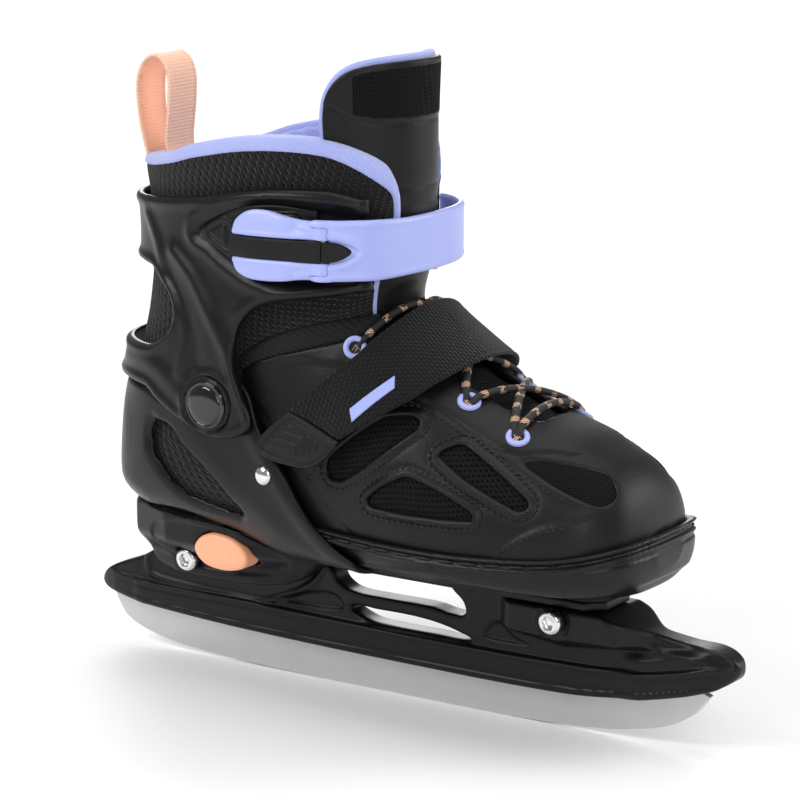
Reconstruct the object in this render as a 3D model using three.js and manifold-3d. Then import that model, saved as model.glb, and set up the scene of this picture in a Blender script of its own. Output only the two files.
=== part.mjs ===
// An adjustable children's ice skate for the right foot: a steel blade in a moulded holder, a hard
// heel shell with a hinged cuff and a buckle, and a toe half that slides forward to add sizes.
// Millimetres. +X towards the toe, +Y towards the other foot, +Z up. The origin is on the ice, in
// the middle of the flat stretch of the blade's edge.

import * as THREE from "three";
import { mergeVertices } from "three/addons/utils/BufferGeometryUtils.js";
import Module from "manifold-3d";

const wasm = await Module();
wasm.setup();

// ---- driving sizes --------------------------------------------------------------------------

const SKATE_LENGTH = 302; // tail to nose of the blade holder
const BOOT_WIDTH = 95; // soft boot at its widest
const SKATE_HEIGHT = 256; // ice to tip of the tongue

const CLEARANCE = 0.3; // between pieces that touch
const RUNNING_GAP = 0.8; // between the cuff and the shell it swings over

const BLADE_THICKNESS = 3;
const BLADE_TANG = 6; // how far the blade reaches up into the holder
const HOLDER_WEB = 12; // thickness of the holder's plate
const HOLDER_RAIL = 15; // thickness of the rail that grips the blade
const HOLDER_PEDESTAL = 32; // width of the block under the ball of the foot

const BOLT_RADIUS = 3;
const BOLT_HEAD_RADIUS = 5;
const BOLT_HEAD_HEIGHT = 3.6;
const BOLT_HEX_RADIUS = 2.3;
const LUG_WIDTH = 10; // the sole base's lug inside the holder's pedestal

const UPPER_WALL = 3;
const LINER_WALL = 5;
const COLLAR_PAD = 3.3;
const TOE_SHELL_WALL = 2;
const WELT_HEIGHT = 3.2;
const WELT_PROUD = 1.4;
const HEEL_SHELL_WALL = 2.5;
const CUFF_WALL = 2.5;
const INSOLE_THICKNESS = 3;
const TONGUE_THICKNESS = 4.4;

const SLIDE_TRAVEL = 20; // three sizes
const SIZE_STEPS = 4;
const RACK_WIDTH = 16;
const RACK_THICKNESS = 2.8;
const LOCK_PIN_RADIUS = 1.8;
const STEM_WIDTH = 5;
const STEM_HEIGHT = 4.2;

const BUTTON_LENGTH = 30;
const BUTTON_HEIGHT = 13.6;
const BUTTON_TRAVEL = 3;
const SPRING_RADIUS = 3;
const SPRING_WIRE = 0.5;
const SPRING_TURNS = 3;
const SPRING_LENGTH = 3;

const PIVOT_RADIUS = 5;
const PIVOT_FLANGE_RADIUS = 8;
const PIVOT_CAP_RADIUS = 9.3;
const PIVOT_CAP_HEIGHT = 2.6;
const RIVET_RADIUS = 4;
const RIVET_HEIGHT = 2.4;
const RIVET_SHANK = 1.6;
const RIVET_DEPTH = 2.6;

const STRAP_THICKNESS = 2.5;
const STRAP_WIDTH = 25;
const LEVER_THICKNESS = 4.2;
const MOUNT_WALL = 2.2; // plates that the strap and lever are riveted on with
const HINGE_PIN_RADIUS = 1.3;
const KNUCKLE_RADIUS = 3.4;
const EAR_HEIGHT = 2.6;

const INSTEP_STRAP_THICKNESS = 2;
const LOOP_WIDTH = 18;
const LOOP_THICKNESS = 1.8;
const EYELET_RADIUS = 3.5;
const EYELET_WIRE = 1.2;
const LACE_RADIUS = 1.6;

// ---- the side view and the sections follow the three overall sizes -----------------------------

const NOMINAL_LENGTH = 302;
const NOMINAL_WIDTH = 95;
const NOMINAL_HEIGHT = 256;
const alongX = SKATE_LENGTH / NOMINAL_LENGTH;
const alongY = BOOT_WIDTH / NOMINAL_WIDTH;
const alongZ = SKATE_HEIGHT / NOMINAL_HEIGHT;
const LATERAL = -1; // the buckle side
const MEDIAL = 1;
const FAR = 400; // past everything

// Offsets from the soft boot's outer surface, from the inside out.
const LINER_IN = -UPPER_WALL - LINER_WALL;
const UPPER_IN = -UPPER_WALL;
const LINER_OUT = UPPER_IN - 3 * CLEARANCE;
const TOE_IN = CLEARANCE;
const TOE_OUT = TOE_IN + TOE_SHELL_WALL;
const HEEL_IN = TOE_OUT + CLEARANCE;
const HEEL_OUT = HEEL_IN + HEEL_SHELL_WALL;
const CUFF_IN = HEEL_OUT + RUNNING_GAP;
const CUFF_OUT = CUFF_IN + CUFF_WALL;
const MOUNT_IN = CUFF_OUT + CLEARANCE;
const MOUNT_OUT = MOUNT_IN + MOUNT_WALL;
const LEVER_IN = MOUNT_OUT + CLEARANCE;
const LEVER_OUT = LEVER_IN + LEVER_THICKNESS;

const SOLE_Z = 60.5; // underside of the soft boot at the forefoot

// The soft boot as sections from the toe tip to the top. Each lies in a plane through its top and
// bottom point in the side view, square to that view. "wide" is where along it the half-width is
// met, and the two powers round it above and below. "bias" turns the toe inwards.
const SECTIONS = [
  { top: [107, 84], bottom: [107, 70], half: 10, wide: 0.5, powers: [2.2, 2.4], bias: 4, toe: 1 },
  { top: [103, 98], bottom: [104, 63], half: 25, wide: 0.55, powers: [2.2, 3], bias: 4, toe: 0.8 },
  { top: [96, 107], bottom: [96, 61], half: 34, wide: 0.6, powers: [2.2, 3.4], bias: 3.5, toe: 0.4 },
  { top: [80, 115.5], bottom: [82, SOLE_Z], half: 41.5, wide: 0.65, powers: [2.1, 4], bias: 3, toe: 0 },
  { top: [60, 123], bottom: [62, SOLE_Z], half: 45.5, wide: 0.68, powers: [2, 4], bias: 2, toe: 0 },
  { top: [38, 131.5], bottom: [42, SOLE_Z], half: 47.5, wide: 0.68, powers: [2, 4], bias: 1, toe: 0 },
  { top: [16, 145], bottom: [20, SOLE_Z], half: 47, wide: 0.66, powers: [2, 4], bias: 0, toe: 0 },
  { top: [4, 155], bottom: [-12, SOLE_Z], half: 44, wide: 0.62, powers: [2, 4], bias: 0, toe: 0 },
  { top: [0, 161], bottom: [-40, SOLE_Z], half: 40.5, wide: 0.6, powers: [2, 4], bias: 0, toe: 0 },
  { top: [-1, 166], bottom: [-72, 66], half: 38, wide: 0.55, powers: [2.1, 3.6], bias: 0, toe: 0 },
  { top: [0, 171], bottom: [-104, 67], half: 37, wide: 0.55, powers: [2.1, 3.2], bias: 0, toe: 0 },
  { top: [1, 176], bottom: [-129, 76], half: 37, wide: 0.52, powers: [2.2, 2.8], bias: 0, toe: 0 },
  { top: [2, 182], bottom: [-131, 92], half: 37, wide: 0.5, powers: [2.2, 2.5], bias: 0, toe: 0 },
  { top: [3, 188], bottom: [-126.5, 120], half: 37, wide: 0.5, powers: [2.2, 2.4], bias: 0, toe: 0 },
  { top: [4, 194], bottom: [-120, 150], half: 36, wide: 0.5, powers: [2.2, 2.3], bias: 0, toe: 0 },
  { top: [4, 200], bottom: [-117, 178], half: 35.5, wide: 0.5, powers: [2.2, 2.3], bias: 0, toe: 0 },
  { top: [4, 206], bottom: [-118, 200], half: 36, wide: 0.5, powers: [2.2, 2.3], bias: 0, toe: 0 },
  { top: [4, 230], bottom: [-120, 230], half: 37, wide: 0.5, powers: [2.2, 2.3], bias: 0, toe: 0 },
  { top: [5, 256], bottom: [-121, 256], half: 37, wide: 0.5, powers: [2.2, 2.3], bias: 0, toe: 0 },
];
const RING_POINTS = 20;

// ---- places, in the nominal side view (x, z) -----------------------------------------------------

const REAR_BOLT = [-100.8, 45.5];
const FRONT_BOLT = [71.6, 46.5];
const PIVOT = [-69, 119];
const SIDE_RIVET = [-43, 93.7];
const BUTTON = [-74, 55];
const HOLDER_TOP = 51.2;
const ARM_TIP = -2; // how far forward the heel shell's arms reach
const BASE_BOTTOM = HOLDER_TOP + CLEARANCE;
const RACK_Z = BASE_BOTTOM + CLEARANCE;
const BUTTON_FACE_Y = -31.5;
const BUTTON_BACK_Y = -20;
const LOCK_PIN_Y = -4;
const HINGE_AXIS = [-15.5, -42.2]; // lever pin in plan
const STRAP_HINGE = [-16.5, 43.2]; // the strap's bending line in plan
const STRAP_BOTTOM = 173;
const EYELET_ROWS = [[-10, 145.5], [13, 137], [36, 128], [59, 117.5]];

// ---- helpers ---------------------------------------------------------------------------------

const at = (x, z) => [x * alongX, z * alongZ];

function solidOf(geometry) {
  const bare = new THREE.BufferGeometry();
  bare.setAttribute("position", geometry.getAttribute("position"));
  if (geometry.index) bare.setIndex(geometry.index);
  const merged = mergeVertices(bare, 1e-4);
  const mesh = new wasm.Mesh({
    numProp: 3,
    vertProperties: new Float32Array(merged.attributes.position.array),
    triVerts: new Uint32Array(merged.index.array),
  });
  return new wasm.Manifold(mesh);
}

function geometryOf(solid) {
  const mesh = solid.getMesh();
  const positions = new Float32Array(mesh.numVert * 3);
  for (let i = 0; i < mesh.numVert; i++) {
    const first = i * mesh.numProp;
    positions.set(mesh.vertProperties.subarray(first, first + 3), i * 3);
  }
  const geometry = new THREE.BufferGeometry();
  geometry.setAttribute("position", new THREE.BufferAttribute(positions, 3));
  geometry.setIndex(new THREE.BufferAttribute(mesh.triVerts, 1));
  geometry.computeVertexNormals();
  return geometry;
}

const union = (...solids) => solids.reduce((a, b) => a.add(b));
const cut = (solid, ...tools) => tools.reduce((a, b) => a.subtract(b), solid);
const common = (...solids) => solids.reduce((a, b) => a.intersect(b));

function extruded(shape, depth, place) {
  const geometry = new THREE.ExtrudeGeometry(shape, { depth, bevelEnabled: false, curveSegments: 6 });
  place(geometry);
  return solidOf(geometry);
}

// A shape drawn in the side view, extruded across the skate from yFrom to yTo.
function acrossY(shape, yFrom, yTo) {
  return extruded(shape, yTo - yFrom, (g) => g.rotateX(Math.PI / 2).translate(0, yTo, 0));
}

function sideShape(points) {
  return new THREE.Shape(points.map(([x, z]) => new THREE.Vector2(...at(x, z))));
}

const sideCut = (points, yFrom = -FAR, yTo = FAR) => acrossY(sideShape(points), yFrom, yTo);
const lateralCut = (points) => sideCut(points, -FAR, 0);
const medialCut = (points) => sideCut(points, 0, FAR);

// A shape drawn in plan (x, y), extruded from zFrom to zTo.
function planSolid(points, zFrom, zTo) {
  const shape = new THREE.Shape(points.map(([x, y]) => new THREE.Vector2(x, y)));
  return extruded(shape, zTo - zFrom, (g) => g.translate(0, 0, zFrom));
}

// A plan symmetric about the middle, from [x, halfWidth] pairs.
function planProfile(halves, zFrom, zTo) {
  const right = halves.map(([x, half]) => [x * alongX, -half]);
  const left = [...right].reverse().map(([x, y]) => [x, -y]);
  return planSolid([...right, ...left], zFrom * alongZ, zTo * alongZ);
}

function box(x0, x1, y0, y1, z0, z1) {
  const geometry = new THREE.BoxGeometry(x1 - x0, y1 - y0, z1 - z0);
  return solidOf(geometry.translate((x0 + x1) / 2, (y0 + y1) / 2, (z0 + z1) / 2));
}

function rodY([x, z], radius, yFrom, yTo, sides = 16) {
  const geometry = new THREE.CylinderGeometry(radius, radius, yTo - yFrom, sides);
  return solidOf(geometry.translate(0, (yFrom + yTo) / 2, 0).translate(x, 0, z));
}

function rodZ([x, y], radius, zFrom, zTo, sides = 12) {
  const geometry = new THREE.CylinderGeometry(radius, radius, zTo - zFrom, sides);
  return solidOf(geometry.rotateX(Math.PI / 2).translate(x, y, (zFrom + zTo) / 2));
}

function tube(points, radius, steps, sides = 6) {
  const ring = new THREE.Shape();
  for (let i = 0; i < sides; i++) {
    const angle = (2 * Math.PI * i) / sides;
    const corner = [radius * Math.cos(angle), radius * Math.sin(angle)];
    if (i === 0) ring.moveTo(...corner);
    else ring.lineTo(...corner);
  }
  const extrudePath = new THREE.CatmullRomCurve3(points);
  return solidOf(new THREE.ExtrudeGeometry(ring, { steps, bevelEnabled: false, extrudePath }));
}

// A strip that follows a plane curve, from "inner" to "outer" beside it, as a closed outline.
function stripOutline(points, inner, outer, samples) {
  const curve = new THREE.SplineCurve(points.map(([a, b]) => new THREE.Vector2(a, b)));
  const side = (offset) => {
    const out = [];
    for (let i = 0; i <= samples; i++) {
      const t = i / samples;
      const tangent = curve.getTangent(t);
      const point = curve.getPoint(t);
      out.push([point.x + tangent.y * offset, point.y - tangent.x * offset]);
    }
    return out;
  };
  return [...side(outer), ...side(inner).reverse()];
}

// ---- the boot's surface ------------------------------------------------------------------------

function offsetSection(section, offset) {
  const top = new THREE.Vector2(...at(...section.top));
  const bottom = new THREE.Vector2(...at(...section.bottom));
  const half = section.half * alongY;
  const length = top.distanceTo(bottom);
  const moved = Math.max(offset, -0.8 * Math.min(half, length / 2));
  const up = top.clone().sub(bottom).normalize();
  const forward = new THREE.Vector2(offset * section.toe, 0);
  return {
    top: top.addScaledVector(up, moved).add(forward),
    bottom: bottom.addScaledVector(up, -moved).add(forward),
    half: half + moved,
    wide: section.wide,
    powers: section.powers,
    bias: section.bias,
  };
}

// Share of the half-width at a share t of the way from a section's top to its bottom.
function fullness({ wide, powers }, t) {
  const above = t < wide;
  const away = above ? (wide - t) / wide : (t - wide) / (1 - wide);
  const power = above ? powers[0] : powers[1];
  return Math.pow(Math.max(0, 1 - Math.pow(Math.min(1, away), power)), 1 / power);
}

function sectionPoint(section, t, side) {
  const spot = section.top.clone().lerp(section.bottom, t);
  const y = section.bias + side * section.half * fullness(section, t);
  return new THREE.Vector3(spot.x, y, spot.y);
}

const lofts = new Map();

// The boot's solid, grown by an offset.
function boot(offset) {
  if (lofts.has(offset)) return lofts.get(offset);
  const positions = [];
  const faces = [];
  const rings = SECTIONS.map((section) => offsetSection(section, offset));
  rings[rings.length - 1].top.y += Math.max(0, offset);
  rings[rings.length - 1].bottom.y += Math.max(0, offset);
  for (const ring of rings) {
    for (let i = 0; i < RING_POINTS; i++) {
      const angle = (2 * Math.PI * i) / RING_POINTS;
      const side = angle < Math.PI ? LATERAL : MEDIAL;
      const point = sectionPoint(ring, (1 - Math.cos(angle)) / 2, side);
      positions.push(point.x, point.y, point.z);
    }
  }
  const corner = (ring, i) => ring * RING_POINTS + (i % RING_POINTS);
  for (let ring = 0; ring + 1 < rings.length; ring++) {
    for (let i = 0; i < RING_POINTS; i++) {
      faces.push(corner(ring, i), corner(ring + 1, i), corner(ring, i + 1));
      faces.push(corner(ring, i + 1), corner(ring + 1, i), corner(ring + 1, i + 1));
    }
  }
  const last = rings.length - 1;
  for (let i = 1; i + 1 < RING_POINTS; i++) {
    faces.push(corner(0, 0), corner(0, i), corner(0, i + 1));
    faces.push(corner(last, 0), corner(last, i + 1), corner(last, i));
  }
  const geometry = new THREE.BufferGeometry();
  geometry.setAttribute("position", new THREE.Float32BufferAttribute(positions, 3));
  geometry.setIndex(faces);
  const solid = solidOf(geometry);
  lofts.set(offset, solid);
  return solid;
}

const skin = (inner, outer) => boot(outer).subtract(boot(inner));

// The section at a fractional place u along the list, grown by an offset.
function sectionAt(u, offset) {
  const i = Math.min(SECTIONS.length - 2, Math.floor(u));
  const a = offsetSection(SECTIONS[i], offset);
  const b = offsetSection(SECTIONS[i + 1], offset);
  const mix = (x, y) => THREE.MathUtils.lerp(x, y, u - i);
  return {
    top: a.top.lerp(b.top, u - i),
    bottom: a.bottom.lerp(b.bottom, u - i),
    half: mix(a.half, b.half),
    wide: mix(a.wide, b.wide),
    powers: [mix(a.powers[0], b.powers[0]), mix(a.powers[1], b.powers[1])],
    bias: mix(a.bias, b.bias),
  };
}

const bootPoint = (u, t, offset, side) => sectionPoint(sectionAt(u, offset), t, side);

// Where on the boot's surface, at an offset, the side view shows (x, z): the section u and the
// share t from that section's top to its bottom.
function locate([x, z], offset) {
  const spot = new THREE.Vector2(...at(x, z));
  const behind = (u) => {
    const { top, bottom } = sectionAt(u, offset);
    return bottom.clone().sub(top).cross(spot.clone().sub(top));
  };
  let low = 0;
  while (low < SECTIONS.length - 2 && behind(low + 1) * behind(low) > 0) low++;
  let high = low + 1;
  for (let i = 0; i < 30; i++) {
    const middle = (low + high) / 2;
    if (behind(middle) * behind(low) > 0) low = middle;
    else high = middle;
  }
  const { top, bottom } = sectionAt(low, offset);
  const across = bottom.clone().sub(top);
  return { u: low, t: spot.clone().sub(top).dot(across) / across.lengthSq() };
}

// The point of the surface at (x, z) and the direction straight out of it.
function onBoot(spot, offset, side) {
  const { u, t } = locate(spot, offset);
  const step = 0.02;
  const point = bootPoint(u, t, offset, side);
  const alongSection = bootPoint(u, t + step, offset, side).sub(bootPoint(u, t - step, offset, side));
  const alongBoot = bootPoint(u + step, t, offset, side).sub(point);
  const normal = alongSection.cross(alongBoot).normalize();
  if (normal.y * side < 0) normal.negate();
  return { point, normal };
}

// Turns a geometry built along +Y so that +Y points along "direction" from "point".
function stood(geometry, point, direction) {
  const turn = new THREE.Quaternion().setFromUnitVectors(new THREE.Vector3(0, 1, 0), direction);
  return geometry.applyQuaternion(turn).translate(point.x, point.y, point.z);
}

function lathe(profile, sides) {
  return new THREE.LatheGeometry(profile.map(([r, h]) => new THREE.Vector2(r, h)), sides);
}

// ---- blade and holder ------------------------------------------------------------------------

const BLADE_EDGE = [
  [-151, 20], [-146, 11.4], [-134, 6], [-117, 2.7], [-90, 0.9], [-62, 0.2], [-34, 0], [34, 0],
  [60, 0.5], [86, 2.4], [103, 5.3], [115, 8.8], [125, 14.8], [133, 24],
];
const HOLDER_BOTTOM = [
  [131, 25.5], [103, 18.6], [73, 15.2], [2, 14.8], [-81, 16.2], [-133, 18.9], [-150, 21],
];

function blade() {
  const tang = HOLDER_BOTTOM.map(([x, z]) => [x * 0.97, z + BLADE_TANG]);
  return sideCut([...BLADE_EDGE, ...tang], -BLADE_THICKNESS / 2, BLADE_THICKNESS / 2);
}

function blade_holder() {
  const top = [
    [-158, 25.6], [-148, 33.9], [-134, 39.4], [-124, 45.5], [-118, HOLDER_TOP], [-44, HOLDER_TOP],
    [-36, 46], [-34, 41.5], [-28, 40], [8, 40], [20, 37.6], [26, 40], [22, 46], [17, HOLDER_TOP],
    [92, HOLDER_TOP], [105, 46.4], [122, 43.4], [136, 42.5], [144, 38.5], [143, 32], [133, 25.7],
  ];
  const outline = [...top, ...HOLDER_BOTTOM.slice(1), [-157.5, 24]];
  const plate = sideCut(outline, -HOLDER_WEB / 2, HOLDER_WEB / 2);
  const slit = sideCut([[-27, 33.9], [-20, 28.8], [26, 28.8], [14, 32.6], [0, 33.9]]);
  const rails = sideCut([
    [-155, 26], [-133, 29], [-80, 27.5], [60, 27.5], [104, 30], [136, 40], [143, 36], [133, 25.7],
    ...HOLDER_BOTTOM.slice(1), [-157, 24],
  ], -HOLDER_RAIL / 2, HOLDER_RAIL / 2);
  const pedestal = sideCut(
    [[40, 34], [46, HOLDER_TOP], [93, HOLDER_TOP], [103, 46.8], [100, 36]],
    -HOLDER_PEDESTAL / 2, HOLDER_PEDESTAL / 2,
  );
  const plan = planProfile(
    [[-158, 2.5], [-149, 5], [-128, 7.5], [-60, 7.5], [28, 7.5], [50, 16], [94, 16], [108, 12],
      [128, 11], [139, 7], [145, 2.5]],
    0, 60,
  );
  const body = common(union(plate, rails, pedestal), plan);
  const tangTop = HOLDER_BOTTOM.map(([x, z]) => [x * 0.97, z + BLADE_TANG + CLEARANCE]);
  const groove = sideCut(
    [[136, 10], [136, 28.5], ...tangTop, [-151.5, 26], [-151.5, 10]],
    -BLADE_THICKNESS / 2 - CLEARANCE, BLADE_THICKNESS / 2 + CLEARANCE,
  );
  const lugSlot = sideCut(
    [[58, 37.5], [58, 60], [86, 60], [86, 37.5]],
    -LUG_WIDTH / 2 - CLEARANCE, LUG_WIDTH / 2 + CLEARANCE,
  );
  const bores = [REAR_BOLT, FRONT_BOLT].map((spot) => {
    return rodY(at(...spot), BOLT_RADIUS + CLEARANCE, -FAR, FAR);
  });
  return cut(body, slit, groove, lugSlot, ...bores);
}

const boltFaceY = HOLDER_PEDESTAL / 2;

function mount_bolt(spot) {
  const [x, z] = at(...spot);
  const shank = rodY([x, z], BOLT_RADIUS, -boltFaceY - 1, boltFaceY + 3);
  const dome = lathe([
    [0, 0], [BOLT_HEAD_RADIUS, 0], [BOLT_HEAD_RADIUS, 0.4 * BOLT_HEAD_HEIGHT],
    [0.72 * BOLT_HEAD_RADIUS, BOLT_HEAD_HEIGHT], [0, BOLT_HEAD_HEIGHT],
  ], 16);
  const head = solidOf(dome.rotateX(Math.PI).translate(x, -boltFaceY - CLEARANCE, z));
  const key = rodY([x, z], BOLT_HEX_RADIUS, -boltFaceY - BOLT_HEAD_HEIGHT - 1, -boltFaceY - 1.6, 6);
  return cut(union(shank, head), key);
}

function mount_nut(spot) {
  const [x, z] = at(...spot);
  const from = boltFaceY + CLEARANCE;
  const body = rodY([x, z], BOLT_HEAD_RADIUS, from, from + BOLT_HEAD_HEIGHT, 6);
  return cut(body, rodY([x, z], BOLT_RADIUS + CLEARANCE, 0, FAR));
}

// ---- sole base: rails for the sliding toe half, and the block that the heel stands on -----------

function buttonBore(grow, yFrom, yTo) {
  const shape = new THREE.Shape();
  const [x, z] = at(...BUTTON);
  shape.absellipse(x, z, BUTTON_LENGTH / 2 + grow, BUTTON_HEIGHT / 2 + grow, 0, 2 * Math.PI);
  const geometry = new THREE.ExtrudeGeometry(shape, {
    depth: yTo - yFrom, bevelEnabled: false, curveSegments: 10,
  });
  return solidOf(geometry.rotateX(Math.PI / 2).translate(0, yTo, 0));
}

const stemX = BUTTON[0] * alongX;
const stemBottom = RACK_Z * alongZ + RACK_THICKNESS + 2 * CLEARANCE;
const boreFloorY =
  BUTTON_BACK_Y + 2 * CLEARANCE + SPRING_LENGTH + 2 * SPRING_WIRE + BUTTON_TRAVEL;

function sole_base() {
  const low = planProfile([[-133, 4], [-122, 12], [-108, 16], [-70, 15], [-38, 10]], 38, 49);
  const high = planProfile(
    [[-136, 6], [-126, 18], [-106, 27], [-90, 30], [-66, 30], [-50, 22], [-38, 14]], 47, 64,
  );
  const heelBlock = common(
    union(low, high),
    sideCut([
      [-135, 64], [-135, 56], [-127, 45], [-117, 38], [-58, 38], [-46, 45], [-38, BASE_BOTTOM], [-38, 64],
    ]),
  );
  const rails = planProfile([[-46, 14], [60, 14], [84, 14], [93, 8]], BASE_BOTTOM, 62);
  const lug = sideCut([[60, 39], [60, 54], [84, 54], [84, 39]], -LUG_WIDTH / 2, LUG_WIDTH / 2);
  const plateSlot = sideCut(
    [
      [-140, 30], [-140, 38], [-134, 40.5], [-124.8, 46.4], [-118.8, BASE_BOTTOM], [0, BASE_BOTTOM],
      [0, 30],
    ],
    -HOLDER_WEB / 2 - CLEARANCE, HOLDER_WEB / 2 + CLEARANCE,
  );
  const rackHalf = RACK_WIDTH / 2 + 2 * CLEARANCE;
  const channel = box(
    -98 * alongX, -10 * alongX + SLIDE_TRAVEL + 1, -rackHalf, rackHalf,
    BASE_BOTTOM * alongZ - 0.1, stemBottom - CLEARANCE,
  );
  const neckSlot = box(
    -28 * alongX, -10 * alongX + SLIDE_TRAVEL + 1, -rackHalf, rackHalf, BASE_BOTTOM * alongZ - 1, FAR,
  );
  const stemSlot = box(
    stemX - STEM_WIDTH / 2 - CLEARANCE, stemX + STEM_WIDTH / 2 + CLEARANCE, boreFloorY - 1,
    LOCK_PIN_Y + LOCK_PIN_RADIUS + BUTTON_TRAVEL + 2 * CLEARANCE, stemBottom - 2 * CLEARANCE,
    stemBottom + STEM_HEIGHT + CLEARANCE,
  );
  const bores = [REAR_BOLT, FRONT_BOLT].map((spot) => {
    return rodY(at(...spot), BOLT_RADIUS + CLEARANCE, -FAR, FAR);
  });
  const headRooms = [[-FAR, -boltFaceY], [boltFaceY, FAR]].map(([yFrom, yTo]) => {
    return rodY(at(...REAR_BOLT), BOLT_HEAD_RADIUS + 2 * CLEARANCE, yFrom, yTo);
  });
  const aheadOfHeel = sideCut([[ARM_TIP + 1, 40], [ARM_TIP + 1, 80], [120, 80], [120, 40]]);
  const underHeel = cut(boot(HEEL_OUT + CLEARANCE), aheadOfHeel);
  const underToe = box(
    (ARM_TIP + 1) * alongX, FAR, -FAR, FAR, SOLE_Z * alongZ - TOE_OUT - CLEARANCE, FAR,
  );
  return cut(
    union(heelBlock, rails, lug), underHeel, underToe, plateSlot, channel, neckSlot, stemSlot,
    buttonBore(2 * CLEARANCE, -FAR, boreFloorY), ...bores, ...headRooms,
  );
}

// ---- size lock -----------------------------------------------------------------------------------

function push_button() {
  const cap = buttonBore(0, BUTTON_FACE_Y, BUTTON_BACK_Y);
  const stem = box(
    stemX - STEM_WIDTH / 2, stemX + STEM_WIDTH / 2, BUTTON_BACK_Y - 1, LOCK_PIN_Y + LOCK_PIN_RADIUS,
    stemBottom, stemBottom + STEM_HEIGHT,
  );
  const pin = rodZ([stemX, LOCK_PIN_Y], LOCK_PIN_RADIUS, RACK_Z * alongZ + 0.4, stemBottom + 1);
  return union(cap, stem, pin);
}

function button_spring() {
  const points = [];
  const stepsPerTurn = 8;
  const x = (BUTTON[0] + 8.5) * alongX;
  const z = BUTTON[1] * alongZ;
  const from = BUTTON_BACK_Y + SPRING_WIRE + CLEARANCE;
  for (let i = 0; i <= SPRING_TURNS * stepsPerTurn; i++) {
    const angle = (2 * Math.PI * i) / stepsPerTurn;
    const y = from + (SPRING_LENGTH * i) / (SPRING_TURNS * stepsPerTurn);
    const across = SPRING_RADIUS * Math.cos(angle);
    const up = SPRING_RADIUS * Math.sin(angle);
    points.push(new THREE.Vector3(x + across, y, z + up));
  }
  return tube(points, SPRING_WIRE, SPRING_TURNS * stepsPerTurn, 5);
}

// A bar under the toe half with one notch for each size and a free slot beside them.
function size_rack() {
  const z = RACK_Z * alongZ;
  const half = RACK_WIDTH / 2;
  const bar = box(-96 * alongX, -10 * alongX, -half, half, z, z + RACK_THICKNESS);
  const neckTop = SOLE_Z * alongZ - TOE_OUT - CLEARANCE;
  const neck = box(-26 * alongX, -10 * alongX, -half + 1, half - 1, z, neckTop);
  const slot = box(
    stemX - SLIDE_TRAVEL - LOCK_PIN_RADIUS - 1, stemX + LOCK_PIN_RADIUS + 1,
    LOCK_PIN_Y - LOCK_PIN_RADIUS - CLEARANCE, LOCK_PIN_Y + LOCK_PIN_RADIUS + BUTTON_TRAVEL + CLEARANCE,
    z - 1, z + RACK_THICKNESS + 1,
  );
  const notches = [];
  for (let i = 0; i < SIZE_STEPS; i++) {
    const x = stemX - (SLIDE_TRAVEL * i) / (SIZE_STEPS - 1);
    const centre = [x, LOCK_PIN_Y - CLEARANCE];
    notches.push(rodZ(centre, LOCK_PIN_RADIUS + 2 * CLEARANCE, z - 1, z + RACK_THICKNESS + 1));
  }
  return cut(union(bar, neck), slot, ...notches);
}

// ---- hard shells ---------------------------------------------------------------------------------

const CUFF_BOTTOM = [
  [-145, 122.5], [-104, 121.5], [-96, 117], [-86, 112], [-76.5, 108.5], [-68, 105.8], [-59, 105.8],
  [-51, 109.5],
];

function heel_shell() {
  const outline = [
    [ARM_TIP, 50], [ARM_TIP, 65], [-20, 79], [-32, 93.5], [-43, 106], [-48, 114], [-53, 126], [-62, 131.5],
    [-76, 131.5], [-85, 126], [-91, 115.5], [-99, 117.5], [-106, 119.5], [-145, 120.5], [-145, 50],
  ];
  const window = [
    [-98, 106.5], [-99, 98], [-92.8, 87.5], [-82, 80.5], [-60, 77.5], [-69.6, 87.5], [-84, 99], [-92, 106.5],
  ];
  const rackHalf = RACK_WIDTH / 2 + 2 * CLEARANCE;
  const rackSlot = box(-30 * alongX, 30 * alongX, -rackHalf, rackHalf, 40 * alongZ, 60 * alongZ);
  const shell = common(skin(HEEL_IN, HEEL_OUT), sideCut(outline));
  const pivotHole = rodY(at(...PIVOT), PIVOT_RADIUS + CLEARANCE, -FAR, FAR);
  const rivetHoles = [LATERAL, MEDIAL].map((side) => rivetSolid(SIDE_RIVET, HEEL_OUT, side, true));
  return cut(shell, sideCut(window), rackSlot, pivotHole, ...rivetHoles);
}

const CUFF_FRONT = -4;

function cuff() {
  const outline = [
    ...CUFF_BOTTOM, [-48, 114], [-52, 122.6], [-56, 134], [-55.5, 146], [-52, 154], [-44, 160.5],
    [-30, 163.5], [-17, 165.5], [CUFF_FRONT, 167.5], [CUFF_FRONT, 204.6], [-18, 206.8], [-46, 205.5],
    [-75, 200.5], [-100, 197.5], [-145, 196],
  ];
  const window = [
    [-145, 140], [-102, 138.7], [-96, 143.6], [-95.7, 155.6], [-100, 163], [-106, 169], [-145, 168],
  ];
  const pivotHole = rodY(at(...PIVOT), PIVOT_RADIUS + CLEARANCE, -FAR, FAR);
  const medialRivet = rivetSolid(MOUNT_RIVET_SPOT, MOUNT_OUT, MEDIAL, true);
  const lateralRivet = rivetSolid(BASE_RIVET_SPOT, MOUNT_OUT, LATERAL, true);
  return cut(
    common(skin(CUFF_IN, CUFF_OUT), sideCut(outline)), sideCut(window), pivotHole, medialRivet,
    lateralRivet,
  );
}

const TOE_SHELL_TOP = [[112, 84], [108, 82.5], [92, 79], [60, 76.5], [0, 76], [-45, 76]];

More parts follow.
